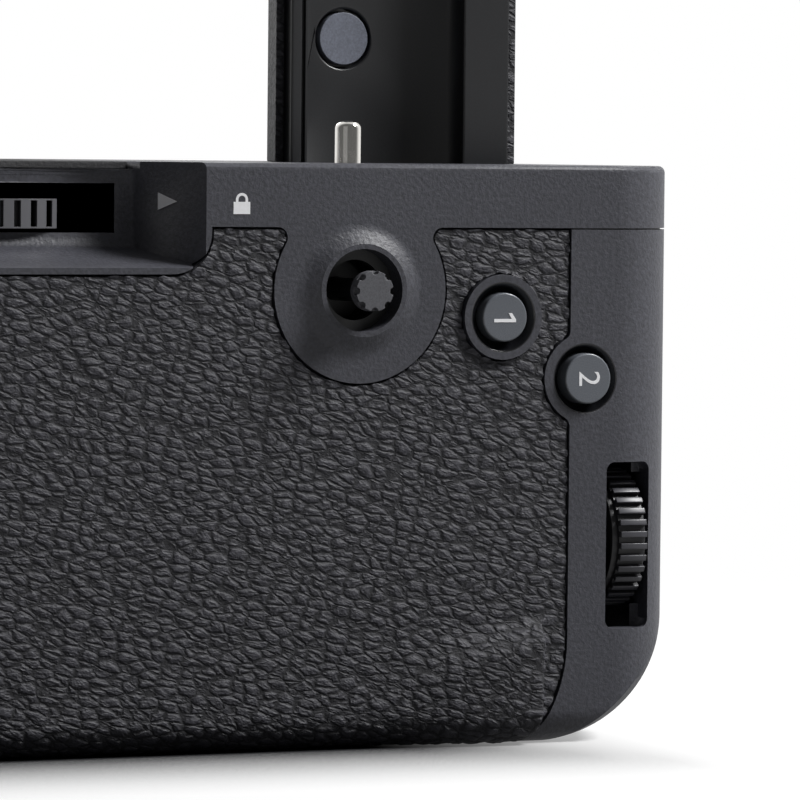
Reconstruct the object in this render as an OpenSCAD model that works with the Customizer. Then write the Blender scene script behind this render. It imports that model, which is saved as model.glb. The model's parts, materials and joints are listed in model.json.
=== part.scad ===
// Battery grip for a mirrorless camera. Millimetres, +Z up, +Y towards the lens, +X to the right.
// The origin is the centre of the tripod socket's mouth, on the axis of the screw that holds the camera.

/* [Body] */
// Width of the body, end to end
body_w = 136; // [132:1:142]
// Height of the body without the stalk
body_h = 56; // [55:0.5:60]
// From the screw axis back to the rear face
rear_depth = 22; // [21.8:0.1:23]
// From the screw axis forward to the front of the handle
handle_depth = 48; // [46:0.5:52]
// Width of the handle, measured from the right end
handle_w = 50; // [46:1:54]
// Thickness of the shell with its skin
wall = 2.25; // [2.1:0.05:2.4]
// Thickness of the leather-like skin
skin_t = 0.9; // [0.7:0.05:1]
// Radius of the upright corners at the right end
right_corner_r = 8; // [6:0.5:9]
// Radius of the upright corners at the left end
left_corner_r = 4; // [3:0.25:5]
// Radius of the handle's front corners
handle_corner_r = 12; // [9:0.5:14]
// Radius of the bottom right edge, seen from the rear
right_foot_r = 12.5; // [10:0.5:13]
// Radius of the bottom left edge, seen from the rear
left_foot_r = 4; // [3:0.25:5]
// Radius of the long bottom edges
edge_foot_r = 3.4; // [3:0.1:4]

/* [Seams] */
// Height of the top cover, measured down from the top face
cover_h = 6.06; // [5.8:0.02:6.4]
// Gap along the seams between the shells
seam_gap = 0.15; // [0.1:0.05:0.2]
// Radius where the cover's seams run into its round tongues
seam_fillet_r = 1; // [0.8:0.05:1.2]
// Distance of the right shell's seam from the right end
right_seam = 13.05; // [12.6:0.05:13.4]
// How far the right shell's seam runs inwards at the bottom
seam_run = 3.95; // [3:0.05:4.5]
// Height at which the right shell's seam starts to run inwards
seam_turn_h = 10; // [8:0.5:11]
// How far the right shell reaches past the shutter button
shell_past_shutter = 11.2; // [10.8:0.1:11.4]
// Width of the frame at the left end
left_frame_w = 10; // [9:0.25:11]

/* [Finger bay and lock wheel] */
// Reach of the finger bay towards the joystick, as a share of the joystick's distance from the screw axis
bay_share = 0.514; // [0.49:0.002:0.526]
// Width of the bay's back wall as a share of its width at the rear face
bay_floor_share = 0.726; // [0.714:0.002:0.76]
// From the screw axis back to the bay's back wall
bay_wall_y = 13; // [12.6:0.1:13.4]
// Drop from the top face to the bay's lower lip
bay_drop = 10.54; // [10.2:0.02:11]
// Drop from the top face to the foot of the bay's back wall
bay_floor_drop = 8; // [7.8:0.05:8.4]
// Radius of the lock wheel
wheel_r = 14; // [13.8:0.05:14.4]
// Thickness of the lock wheel
wheel_t = 2.8; // [2.4:0.1:2.9]
// Drop from the top face to the lock wheel's upper side
wheel_drop = 3.6; // [3.5:0.02:3.7]
// Number of ribs round the lock wheel
wheel_ribs = 50; // [36:2:60]

/* [Top face] */
// Thickness of the rubber pad on the top face
pad_t = 0.75; // [0.6:0.05:0.9]
// How far right of the screw axis the pad reaches
pad_reach = 13; // [12:0.5:15]
// Margin between the pad and the edge of the top face
pad_margin = 1.2; // [0.8:0.1:2]
// Radius of the camera screw's thread
screw_r = 3.175; // [3:0.005:3.2]
// How far the camera screw stands above the top face
screw_rise = 4.6; // [4:0.1:5.2]
// Radius of the guide pins
guide_r = 1.3; // [1.1:0.05:1.5]
// How far the guide pins stand above the top face
guide_rise = 4.1; // [3:0.1:4.5]
// Distance of each guide pin from the screw axis along the body
guide_x = 36.5; // [34:0.5:38]
// Distance of each guide pin behind the screw axis
guide_y = 10; // [9:0.25:11]

/* [Stalk] */
// Height of the stalk above the top face
stalk_h = 54; // [48:1:60]
// Width of the stalk's rear side, without its sleeve
stalk_w = 23.7; // [22:0.1:24.5]
// Distance of the stalk's rear left corner from the right end
stalk_from_right = 32.4; // [31.8:0.1:33]
// From the screw axis forward to the stalk's rear side
stalk_rear_y = 2; // [1.5:0.1:2.5]
// Depth of the stalk
stalk_d = 22; // [20:0.5:24]
// Width of the stalk's front side
stalk_front_w = 13; // [11:0.5:14]
// Thickness of the grained sleeve round the stalk
sleeve_t = 0.9; // [0.7:0.05:1.1]
// Width of the channel down the stalk's rear side
channel_w = 17; // [16:0.1:18]
// Width of the land left of the channel
channel_land = 1.75; // [1.6:0.05:1.9]
// Width of the fine groove in the left land
land_groove_w = 0.3; // [0.2:0.05:0.4]
// Depth of the fine groove in the left land
land_groove_d = 0.5; // [0.3:0.05:0.7]
// Depth of the channel
channel_d = 4.4; // [4.3:0.05:4.8]
// Radius of the round cap on the channel's floor
cap_r = 2.62; // [2.3:0.02:2.8]
// Height of the round cap above the top face
cap_rise = 12.4; // [11:0.2:14]

/* [Joystick] */
// Distance of the joystick from the right end
stick_from_right = 35.3; // [34.8:0.1:36]
// Drop from the top face to the joystick
stick_drop = 12.05; // [11.9:0.05:12.4]
// Radius of the top cover's tongue round the joystick
tongue_r = 8.9; // [8.6:0.05:9.2]
// Radius at the foot of the joystick's raised collar
collar_r = 6.45; // [6.2:0.05:6.8]
// Height of the raised collar above the rear face
collar_h = 0.95; // [0.8:0.05:1.1]
// Radius of the joystick's hole
stick_hole_r = 3.97; // [3.8:0.01:4.1]
// Radius of the joystick's cap
stick_cap_r = 1.92; // [1.8:0.02:2.1]
// How far the joystick's cap stands beyond the collar
stick_proud = 2.5; // [2.3:0.1:2.7]
// Travel of the joystick when it is pressed
stick_travel = 0.4; // [0.3:0.05:0.5]

/* [Buttons] */
// Distance of the upper button from the right end
upper_from_right = 20.4; // [20:0.05:20.8]
// Drop from the top face to the upper button
upper_drop = 14.65; // [14.4:0.05:15]
// Radius of the upper button's cap
upper_r = 2.36; // [2.2:0.02:2.5]
// Outer radius of the upper button's bezel
bezel_r = 4.1; // [4:0.02:4.2]
// Distance of the corner button from the right end
corner_from_right = 11.45; // [11.2:0.05:11.7]
// Height of the corner button as a share of the body's height
corner_share = 0.632; // [0.628:0.001:0.636]
// Radius of the corner button's cap
corner_r = 2.45; // [2.3:0.02:2.6]
// Mouth radius of the dish round each rear button
dish_r = 3.3; // [3.2:0.02:3.4]
// How far the rear buttons stand above the rear face
button_proud = 0.7; // [0.5:0.05:0.9]
// Travel of the rear buttons
button_travel = 0.5; // [0.4:0.05:0.55]
// Height of the end face's controls above the base
end_z = 22; // [21:0.25:23]
// Radius of the shutter button
shutter_r = 4.6; // [4.2:0.1:4.8]
// Travel of the shutter button
shutter_travel = 1; // [0.8:0.1:1.1]
// Outer radius of the lock lever round the shutter button
lever_r = 8.6; // [8.2:0.1:9]
// Place of the shutter button between the screw axis and the handle's front, as a share
shutter_share = 0.5; // [0.496:0.002:0.506]
// Radius of the function button on the end face
function_r = 2.6; // [2.4:0.1:2.8]
// From the screw axis forward to the function button
function_y = 7; // [6:0.25:8]

/* [Dials] */
// Radius of the control dials
dial_r = 6.8; // [6.6:0.05:6.9]
// Width of the control dials
dial_w = 2.85; // [2.7:0.05:3]
// Number of ribs round each dial
dial_ribs = 36; // [30:2:40]
// How far a dial stands beyond the surface round it
dial_proud = 0.5; // [0.4:0.05:0.7]
// Width of the rear dial's window
window_w = 5.15; // [5:0.05:5.3]
// Height of the rear dial's window as a share of the body's height
window_share = 0.29; // [0.285:0.001:0.296]
// Distance of the window's right side from the right end
window_from_right = 3.85; // [3.7:0.05:4]
// Height of the rear dial's axle as a share of the body's height
dial_share = 0.35; // [0.344:0.002:0.356]
// Radius of the dial axles
axle_r = 1.5; // [1.3:0.05:1.6]

/* [Battery tray] */
// Width of one battery
battery_w = 38.4; // [37.6:0.1:38.6]
// Clearance between the batteries and the hub of the latch above them
battery_clear = 4.8; // [4.6:0.1:5.2]
// Thickness of the tray's floor and walls
tray_wall = 0.8; // [0.7:0.05:0.9]
// Clearance between the tray and the case on each side
tray_clear = 0.4; // [0.3:0.05:0.5]
// Height of the tray's floor above the base
tray_z = 7; // [6.9:0.05:7.4]
// Thickness of the tray's door
door_t = 3.9; // [3.6:0.1:4.2]
// How far the latch cam catches behind the frame above the door
cam_catch = 1; // [0.7:0.1:1.2]
// Radius of the latch knob
knob_r = 6.4; // [6:0.1:6.8]
// Drop from the door's top edge to the latch knob
knob_drop = 7.6; // [7.4:0.1:8]

/* [Tripod socket] */
// Radius of the tripod thread
tripod_r = 3.175; // [3:0.005:3.2]
// Depth of the tripod thread
tripod_depth = 6.2; // [5.8:0.1:6.5]

/* [Hidden] */
$fn = 48;

// Colours
shell_colour = [0.20, 0.20, 0.21];
skin_colour = [0.15, 0.15, 0.16];
dark_colour = [0.08, 0.08, 0.09];
rubber_colour = [0.12, 0.12, 0.12];
metal_colour = [0.78, 0.78, 0.80];
brass_colour = [0.80, 0.66, 0.35];
board_colour = [0.10, 0.32, 0.18];
frame_colour = [0.55, 0.57, 0.60];
cap_colour = [0.41, 0.44, 0.48];

// Overruns and clearances
cut = 1;
fit = 0.1;
running = 0.05;
touch = 0.02;
// How the foot's radius goes over from the right end to the rear edge, at even turns round the corner
turn_share = [1.05, 0.72, 0.29];
slide_gap = 0.35;

// Faces and seams
right_x = body_w / 2;
left_x = -body_w / 2;
rear_y = -rear_depth;
front_depth = battery_w + 2 * (tray_wall + fit + tray_clear + wall) - rear_depth;
seam_z = body_h - cover_h;
seam_x = right_x - right_seam;
frame_x = left_x + left_frame_w;
inner_rear_y = rear_y + wall;
inner_front_y = front_depth - wall;
handle_x = right_x - handle_w;
case_top_z = seam_z - seam_gap;
skin_gap = 0.05;
case_inset = skin_t + skin_gap;
shutter_y = handle_depth * shutter_share;
right_shell_reach = shutter_y + shell_past_shutter;

// Seam of the right shell below the point where it turns inwards
seam_r = (seam_turn_h * seam_turn_h + seam_run * seam_run) / (2 * seam_run);
corner_rim = 1.035;
corner_tongue_r = dish_r + corner_rim;

// Joystick
stick_x = right_x - stick_from_right;
stick_z = body_h - stick_drop;
fillet_run = sqrt(pow(tongue_r + seam_fillet_r, 2) - pow(seam_z - seam_fillet_r - stick_z, 2));
pivot_depth = 7;
pivot_y = rear_y + pivot_depth;
gimbal_r = 5.4;
gimbal_bore_r = 4.2;
gimbal_t = 2;
cradle_r = 2.9;
trunnion_r = 0.7;
stick_shaft_r = 1.1;
module_r = 7.6;
module_pocket_r = 6.1;
module_back = 6;
module_front_y = pivot_y + module_back;
module_pocket_half = 2.2;
module_floor_y = pivot_y + module_pocket_half;
module_over = 1;
stick_tip_y = rear_y - collar_h - stick_proud;
stick_cap_t = 1.5;
scallops = 8;
scallop_r = 0.36;
boot_r = stick_hole_r - touch;
boot_bore_r = 2.9;
boot_t = 0.8;

// Bay and lock wheel
bay_half_w = stick_x * bay_share;
bay_floor_half_w = bay_half_w * bay_floor_share;
bay_window_share = 0.902;
bay_window_half = bay_floor_half_w * bay_window_share;
bay_lip_z = body_h - bay_drop;
bay_floor_z = body_h - bay_floor_drop;
bay_frame = 0.6;
bay_round_r = 4;
tub_wall = 1.6;
wheel_top_z = body_h - wheel_drop;
wheel_bottom_z = wheel_top_z - wheel_t;
wheel_gap = 0.5;
bay_window_r = 0.9;
bay_window_top_z = wheel_top_z + wheel_gap;
bay_window_bottom_z = wheel_bottom_z - wheel_gap;
rib_depth = 0.8;
rib_rim = 0.15;
rib_open_share = 0.4;
shaft_share = 0.9;
shaft_r = screw_r * shaft_share;
shaft_hole_r = screw_r + fit;
bearing_r = 9;
bearing_t = 2.4;
washer_t = 0.8;
washer_margin = 2;
bearing_z = wheel_bottom_z - washer_t - fit - bearing_t;

// Stalk
stalk_x = right_x - stalk_from_right;
stalk_mid_x = stalk_x + stalk_w / 2;
channel_x = stalk_x + channel_land;
stalk_top_z = body_h + stalk_h;
stalk_lean = 2.25;
stalk_front_x = stalk_mid_x - stalk_front_w / 2 + stalk_lean;
stalk_shoulder_share = 0.45;
stalk_nose_share = 0.6;
channel_top = 4;
stalk_flange = 2;
stalk_flange_t = 1.6;
sleeve_left_back = 1.9;
sleeve_right_back = 0.3;
sleeve_drop = 6;
passage_w = 6;
passage_d = 2.4;
passage_y = stalk_rear_y + stalk_d / 2 + passage_d;
cap_inset = 5.7;
land_groove_x = channel_x - 2 * land_groove_w;
cap_x = channel_x + cap_inset;
cap_gap = 0.38;
cap_t = 1.2;
guide_tip_share = 0.6;

// Rear buttons
upper_x = right_x - upper_from_right;
upper_z = body_h - upper_drop;
corner_x = right_x - corner_from_right;
corner_z = body_h * corner_share;
corner_fillet_rise = sqrt(pow(corner_tongue_r + seam_fillet_r, 2)
    - pow(corner_x - seam_x + seam_fillet_r, 2));
bezel_proud = 0.35;
dish_d = 1.1;
flange_extra = 0.8;
flange_t = 0.5;
flange_y = inner_rear_y + fit;
dome_gap = 0.1;
dome_t = 0.8;
dome_r = 2;
board_t = 1;
dome_y = flange_y + flange_t + button_travel + dome_gap;
control_y = dome_y + dome_t;

// Dials
window_h = body_h * window_share;
dial_z = body_h * dial_share;
window_x = right_x - window_from_right - window_w;
window_lift = -0.5;
window_z = dial_z + window_lift;
window_r = 0.9;
dial_side_gap = 0.85;
dial_x = window_x + window_w - dial_w - dial_side_gap;
dial_y = rear_y - dial_proud + dial_r;
dial_rib_d = 0.55;
dial_rim = 0.25;
dial_open_share = 0.5;
collar_t = 0.6;
ear_t = 1.2;
ear_r = 2.4;
bracket_t = 1.5;
bracket_half_h = 7.4;
dial_back = 8;
front_dial_y = handle_depth + dial_proud - dial_r;
front_dial_w = 4.6;
front_dial_from_right = 11.6;
front_dial_x = right_x - front_dial_from_right;
front_dial_gap = 0.4;
front_window_w = front_dial_w + 2 * front_dial_gap;
rear_ear_x0 = dial_x - collar_t - fit - ear_t - 2 * fit;
rear_ear_x1 = dial_x + dial_w + 2 * fit + ear_t;
front_ear_x0 = front_dial_x - front_dial_w / 2 - 3 * fit - ear_t;
front_ear_x1 = front_dial_x + front_dial_w / 2 + 3 * fit + ear_t;

// End face controls
collar_wall = 1.2;
collar_rise = 1.4;
shutter_gap = 0.12;
shutter_rise = 0.9;
shutter_stem_r = 1.6;
lever_t = 1.3;
lever_lift = 0.15;
lever_tab = 2.4;
lever_tab_w = 4.4;
function_rise = 0.5;
boss_r = 3.4;
boss_l = 3.6;
end_flange_t = 0.6;
switch_w = 6.4;
switch_gap = 0.3;
side_travel = 0.6;

// Chassis, in plan
plate_t = 1.2;
upright_from_right = 20.4;
upright_x = right_x - upright_from_right;
board_bracket_d = 1.6;
chassis_rear_y = control_y + board_t + board_bracket_d;
chassis_front_gap = 2;
chassis_front_y = inner_front_y - chassis_front_gap;
rail_w = 3;
bracket_off = 3.2;
bracket_x = upright_x + bracket_off;
bottom_margin = 2;
bottom_left_x = frame_x + bottom_margin;
bottom_right_x = upright_x - bottom_margin;
bottom_rear_margin = 6;
bottom_rear_y = rear_y + bottom_rear_margin;
bottom_front_margin = 8.5;
bottom_front_y = front_depth - bottom_front_margin;
bottom_t = 2.2;

// Door and latch
door_x = left_x + door_t;
door_z0 = 4.5;
door_drop = 11;
door_z1 = body_h - door_drop;
chamber_rim = 1.2;
chamber_z1 = door_z1 - chamber_rim;
seal_t = 0.6;
knob_z = door_z1 - knob_drop;
hub_r = 2.3;
knob_t = 1.9;
knob_bar_w = 2.2;
knob_bar_t = 0.9;
cam_t = 1.3;
cam_w = 3.6;
cam_rim = 1;
cam_reach = knob_drop + cam_catch;
cam_tip_r = sqrt(cam_reach * cam_reach + cam_w * cam_w / 4);
cam_end_x = door_x + fit + cam_t;

// Battery tray
tray_mid_y = (inner_rear_y + inner_front_y) / 2;
tray_half_w = battery_w / 2 + tray_wall + fit;
block_w = 4.6;
block_x = upright_x - block_w;
contact_reach = 0.3;
contact_gap = 0.9;
contact_w = 3;
contacts = 4;
contact_pitch = 4.8;
tray_end_x = block_x - slide_gap - contact_gap;
battery_gap = 0.25;
battery_l = (tray_end_x - door_x - 2 * tray_wall - 4 * battery_gap) / 2;
battery_x1 = door_x + battery_gap;
battery_x2 = battery_x1 + battery_l + tray_wall + 2 * battery_gap;
battery_z = tray_z + tray_wall + fit;
battery_h = knob_z - hub_r - battery_clear - battery_z;
battery_round_share = 0.125;
tray_side_share = 0.76;
tray_side_h = battery_h * tray_side_share;

// Chassis, in height
chassis_z = wall + fit;
chassis_clear = 3.9;
chassis_top_z = battery_z + battery_h + chassis_clear;
deck_z = chassis_top_z + plate_t;
board_foot = 0.3;

// Boards and ribbons
board_share = 0.514;
main_board_z = deck_z + (bearing_z - deck_z) * board_share;
board_half_w = 9;
standoff_r = 1.6;
standoff_inset = 1.6;
main_board_x0 = left_x / 2;
main_board_x1 = stick_x - module_r - bracket_t;
cable_t = 0.3;
cable_w = 6;
cable_z = main_board_z + board_t;
chips = 3;
chips_inset = 6.4;
chips_x0 = main_board_x0 + chips_inset;
chip_pitch = (-bearing_r / 2 - fit - chips_x0) / chips;
chip_share = 0.73;
chip_w = 4.9;
chip_t = 1;
chip_back = 2.2;

// Tripod socket
socket_r = 6;
socket_flange_r = 9;
tripod_plate_t = 0.6;
tripod_plate_half = 13;

// Thumb rest on the skin
thumb_gap = 1.4;
thumb_edge = 1.5;
thumb_w = 14;
thumb_h = 10;
thumb_fade = 5;
thumb_low = 3.6;
thumb_proud = 1.1;

// Screws in the bottom
screw_head_r = 1.9;
screw_shaft_r = 1;
screw_slot = 0.33;
screw_slot_d = 0.55;
screw_head_t = 1.1;
screw_l = 5;
screw_inset = 5;
screw_middle = 26;

// A box from its low corner to its high corner
module slab(low, high) {
    translate(low) cube(high - low);
}

// Round bars along each axis, between two places
module bar_x(y, z, x0, x1, r) {
    translate([x0, y, z]) rotate([0, 90, 0]) cylinder(r = r, h = x1 - x0);
}
module bar_y(x, z, y0, y1, r) {
    translate([x, y0, z]) rotate([-90, 0, 0]) cylinder(r = r, h = y1 - y0);
}
module bar_z(x, y, z0, z1, r) {
    translate([x, y, z0]) cylinder(r = r, h = z1 - z0);
}

// A flat outline from a low to a high corner, with its own radius at each corner:
// low left, low right, high right and high left
module outline(low, high, radii) {
    corners = [low, [high.x, low.y], high, [low.x, high.y]];
    turns = [[1, 1], [-1, 1], [-1, -1], [1, -1]];
    difference() {
        translate(low) square(high - low);
        for (i = [0 : 3]) {
            difference() {
                translate(corners[i] - cut * turns[i]) scale(turns[i]) square(radii[i] + cut);
                translate(corners[i] + radii[i] * turns[i]) circle(r = radii[i]);
            }
        }
    }
}

// A box form that is rounded in plan, along its ends and along its bottom edges
module rounded_block(low, high, plan, ends, sides) {
    intersection() {
        translate([0, 0, low.z]) linear_extrude(high.z - low.z)
            outline([low.x, low.y], [high.x, high.y], plan);
        translate([0, high.y + cut, 0]) rotate([90, 0, 0]) linear_extrude(high.y - low.y + 2 * cut)
            outline([low.x, low.z], [high.x, high.z + cut], ends);
        translate([low.x - cut, 0, 0]) rotate([90, 0, 90]) linear_extrude(high.x - low.x + 2 * cut)
            outline([low.y, low.z], [high.y, high.z + cut], sides);
    }
}

// What a foot that turns round the rear right corner leaves outside, in even steps of turn
module corner_foot_cuts(inset) {
    for (i = [0 : len(turn_share) - 1]) {
        foot = edge_foot_r + turn_share[i] * (right_foot_r - edge_foot_r) - inset;
        mid = right_corner_r - inset - foot;
        translate([right_x - right_corner_r, rear_y + right_corner_r, inset])
            rotate([0, 0, -90 * (i + 1) / (len(turn_share) + 1)])
                difference() {
                    slab([mid, -right_x, -cut], [mid + foot + cut, right_x, foot - touch]);
                    bar_y(mid + touch, foot - touch, -right_x - cut, right_x + cut, foot);
                }
    }
}

// The outer form of the body and its handle, drawn in by an inset
module form(inset) {
    difference() {
        rounded_block([left_x + inset, rear_y + inset, inset],
            [right_x - inset, front_depth - inset, body_h - inset],
            [left_corner_r - inset, right_corner_r - inset, right_corner_r - inset, left_corner_r - inset],
            [left_foot_r - inset, right_foot_r - inset, cut, cut],
            [edge_foot_r - inset, edge_foot_r - inset, cut, cut]);
        corner_foot_cuts(inset);
    }
    rounded_block([handle_x + inset, inset, inset],
        [right_x - inset, handle_depth - inset, body_h - inset],
        [cut, cut, handle_corner_r - inset, handle_corner_r - inset],
        [left_foot_r - inset, right_foot_r - inset, cut, cut],
        [edge_foot_r - inset, handle_corner_r - inset, cut, cut]);
}

// Fills the inner corner where a seam meets a round tongue, down to a small radius
module seam_fillet(x, z, back_y, r, points) {
    difference() {
        translate([0, back_y, 0]) rotate([90, 0, 0]) linear_extrude(back_y - rear_y + cut) polygon(points);
        bar_y(x, z, rear_y - 2 * cut, back_y + cut, r);
    }
}

// The space of the top cover, grown by a gap where it cuts its neighbours
module top_region(gap) {
    slab([left_x - cut, rear_y - cut, seam_z - gap], [right_x + cut, handle_depth + cut, body_h + cut]);
    tub = bay_half_w + bay_frame + gap;
    translate([0, -bay_wall_y + tub_wall + gap, 0]) rotate([90, 0, 0])
        linear_extrude(rear_depth - bay_wall_y + tub_wall + gap + cut)
            outline([-tub, bay_lip_z - gap], [tub, seam_z + cut], [bay_round_r, bay_round_r, 0, 0]);
    bar_y(stick_x, stick_z, rear_y - cut, inner_rear_y + gap, tongue_r + gap);
    for (side = [-1, 1]) {
        x = stick_x + side * fillet_run;
        z = seam_z - seam_fillet_r;
        seam_fillet(x, z, inner_rear_y + gap, seam_fillet_r - gap,
            [[stick_x, stick_z], [x, z], [x, seam_z + cut], [stick_x, seam_z + cut]]);
    }
}

// The space of the right shell, grown by a gap where it cuts its neighbours
module right_region(gap) {
    reach = right_shell_reach + gap;
    slab([seam_x - gap, rear_y - cut, seam_turn_h], [right_x + cut, reach, seam_z + cut]);
    bar_y(corner_x, corner_z, rear_y - cut, inner_rear_y, corner_tongue_r + gap);
    for (side = [-1, 1]) {
        x = seam_x - seam_fillet_r;
        z = corner_z + side * corner_fillet_rise;
        seam_fillet(x, z, inner_rear_y, seam_fillet_r - gap,
            [[corner_x, corner_z], [x, z], [seam_x + cut, z]]);
    }
    difference() {
        slab([seam_x - seam_r, rear_y - cut, -cut], [right_x + cut, reach, seam_turn_h + touch]);
        bar_y(seam_x - seam_r, seam_turn_h, rear_y - 2 * cut, reach + cut, seam_r - gap);
        slab([seam_x - seam_r - cut, rear_y - 2 * cut, -2 * cut],
            [seam_x - seam_r, reach + cut, seam_turn_h + cut]);
    }
}

// Everything of a lower shell: its part of the form, without the neighbours' spaces
module lower_shell(outer, inner, low, high) {
    difference() {
        intersection() {
            form(outer);
            slab(low, high);
        }
        form(inner);
        top_region(seam_gap);
        right_region(seam_gap);
    }
}

// A ring of slots cut into a wheel's edge
module edge_slots(r, count, depth, z0, z1, open_share) {
    slot = 2 * PI * r / count * open_share;
    for (i = [0 : count - 1]) {
        rotate(i * 360 / count) slab([r - depth, -slot / 2, z0], [r + cut, slot / 2, z1]);
    }
}

module bay_cut() {
    floor_poly = [[-bay_half_w, rear_y], [-bay_floor_half_w, -bay_wall_y],
        [bay_floor_half_w, -bay_wall_y], [bay_half_w, rear_y], [bay_half_w, rear_y - cut],
        [-bay_half_w, rear_y - cut]];
    side_poly = [[rear_y - cut, bay_lip_z + bay_frame], [rear_y, bay_lip_z + bay_frame],
        [-bay_wall_y, bay_floor_z], [-bay_wall_y + cut, bay_floor_z],
        [-bay_wall_y + cut, body_h + cut], [rear_y - cut, body_h + cut]];
    intersection() {
        linear_extrude(body_h + cut) polygon(floor_poly);
        translate([-bay_half_w - cut, 0, 0]) rotate([90, 0, 90]) linear_extrude(2 * (bay_half_w + cut))
            polygon(side_poly);
    }
}

module bay_window() {
    translate([0, -bay_wall_y + tub_wall + cut, 0]) rotate([90, 0, 0]) linear_extrude(tub_wall + 2 * cut)
        outline([-bay_window_half, bay_window_bottom_z], [bay_window_half, bay_window_top_z],
            [bay_window_r, bay_window_r, bay_window_r, bay_window_r]);
}

module top_cover() {
    color(shell_colour) difference() {
        union() {
            difference() {
                intersection() {
                    form(0);
                    top_region(0);
                }
                difference() {
                    form(wall);
                    slab([-bay_half_w - 2 * bay_frame, rear_y, bay_lip_z - cut],
                        [bay_half_w + 2 * bay_frame, -bay_wall_y + tub_wall, body_h]);
                }
                slab([left_x - cut, rear_y - cut, body_h - pad_t],
                    [pad_reach, front_depth + cut, body_h + cut]);
            }
            slab([left_x + wall, inner_rear_y, wheel_top_z + wheel_gap],
                [pad_reach, inner_front_y, body_h - pad_t]);
            translate([stick_x, rear_y, stick_z]) rotate([90, 0, 0])
                cylinder(r1 = collar_r, r2 = stick_hole_r + collar_h / 2, h = collar_h);
        }
        bay_cut();
        bay_window();
        bar_y(stick_x, stick_z, rear_y - collar_h - cut, inner_rear_y + cut, stick_hole_r);
        bar_z(0, 0, bay_window_top_z - cut, body_h + cut, shaft_hole_r);
        for (side = [-1, 1]) {
            bar_z(side * guide_x, -guide_y, body_h - 2 * wall - cut, body_h + cut, guide_r + touch);
            bar_z(side * guide_x, -guide_y, body_h - 2 * wall - cut, body_h - wall, 2 * guide_r + touch);
        }
        stalk_prism(0, fit, 0, body_h - 2 * wall - cut, body_h + cut);
    }
}

module top_pad() {
    r = left_corner_r - pad_margin;
    color(rubber_colour) difference() {
        translate([0, 0, body_h - pad_t]) linear_extrude(pad_t)
            outline([left_x + pad_margin, rear_y + pad_margin],
                [pad_reach - seam_gap, front_depth - pad_margin], [r, 0, 0, r]);
        slab([-bay_half_w - pad_margin, rear_y, body_h - pad_t - cut],
            [bay_half_w + pad_margin, -bay_wall_y + pad_margin, body_h + cut]);
        bar_z(0, 0, body_h - 2 * cut, body_h + cut, shaft_hole_r);
        bar_z(-guide_x, -guide_y, body_h - 2 * cut, body_h + cut, guide_r + fit);
    }
}

module rear_case() {
    color(shell_colour) difference() {
        lower_shell(case_inset, wall, [frame_x + seam_gap, rear_y - cut, 0],
            [right_x, tray_mid_y, case_top_z]);
        bottom_opening(seam_gap);
        bar_y(upper_x, upper_z, rear_y - cut, inner_rear_y + cut, bezel_r + fit);
    }
}

module rear_leather() {
    color(skin_colour) difference() {
        lower_shell(0, skin_t, [frame_x + seam_gap, rear_y - cut, -cut],
            [right_x, bottom_rear_y - seam_gap, case_top_z]);
        bar_y(upper_x, upper_z, rear_y - cut, inner_rear_y + cut, bezel_r + fit);
    }
    color(skin_colour) thumb_rest();
}

// The thumb rest swells out of the skin and ends in a crisp right edge
module thumb_rest() {
    rest_x = seam_x - seam_run + thumb_gap;
    hull() {
        slab([rest_x - thumb_edge, rear_y - thumb_proud, thumb_low], [rest_x, rear_y + touch, thumb_h]);
        slab([rest_x - thumb_w, rear_y - touch, thumb_low],
            [rest_x - thumb_edge, rear_y + touch, thumb_h + thumb_fade]);
    }
}

module front_case() {
    color(shell_colour) difference() {
        lower_shell(case_inset, wall, [frame_x + seam_gap, tray_mid_y + seam_gap, 0],
            [right_x + cut, handle_depth, case_top_z]);
        bottom_opening(seam_gap);
        front_window();
    }
}

module front_leather() {
    color(skin_colour) difference() {
        lower_shell(0, skin_t, [frame_x + seam_gap, bottom_front_y + seam_gap, -cut],
            [right_x + cut, handle_depth + cut, case_top_z]);
        front_window();
        tripod_plate_form(fit, -cut, tripod_plate_t + touch);
    }
}

module front_window() {
    slab([front_dial_x - front_window_w / 2, inner_front_y + wall, end_z - window_h / 2],
        [front_dial_x + front_window_w / 2, handle_depth + cut, end_z + window_h / 2]);
}

module bottom_opening(gap) {
    slab([bottom_left_x - gap, bottom_rear_y - gap, -cut],
        [bottom_right_x + gap, bottom_front_y + gap, wall + cut]);
}

module right_shell() {
    color(shell_colour) difference() {
        union() {
            difference() {
                intersection() {
                    form(0);
                    right_region(0);
                    slab([0, rear_y - cut, -cut], [right_x + cut, handle_depth, case_top_z]);
                }
                form(wall);
            }
            bar_x(shutter_y, end_z, right_x - wall - boss_l, right_x - wall + touch, boss_r);
            bar_x(function_y, end_z, right_x - wall - boss_l / 2, right_x - wall + touch, boss_r);
            bar_x(shutter_y, end_z, right_x - touch, right_x + collar_rise,
                shutter_r + shutter_gap + collar_wall);
        }
        translate([corner_x, rear_y - touch, corner_z]) rotate([-90, 0, 0])
            cylinder(r1 = dish_r, r2 = corner_r + fit, h = dish_d);
        bar_y(corner_x, corner_z, rear_y - cut, inner_rear_y + cut, corner_r + running);
        translate([0, inner_rear_y + cut, 0]) rotate([90, 0, 0]) linear_extrude(wall + 2 * cut)
            outline([window_x, window_z - window_h / 2], [window_x + window_w, window_z + window_h / 2],
                [window_r, window_r, window_r, window_r]);
        bar_x(dial_y, dial_z, dial_x - collar_t, window_x + window_w, dial_r + slide_gap);
        bar_x(dial_y, dial_z, dial_x, rear_ear_x1 + 2 * fit, ear_r + 2 * fit);
        bar_x(shutter_y, end_z, right_x - wall / 2, right_x + collar_rise + cut, shutter_r + shutter_gap);
        bar_x(shutter_y, end_z, right_x - wall - boss_l - cut, right_x, shutter_stem_r + running);
        bar_x(function_y, end_z, right_x - wall - boss_l, right_x + cut, function_r + running);
    }
}

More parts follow.
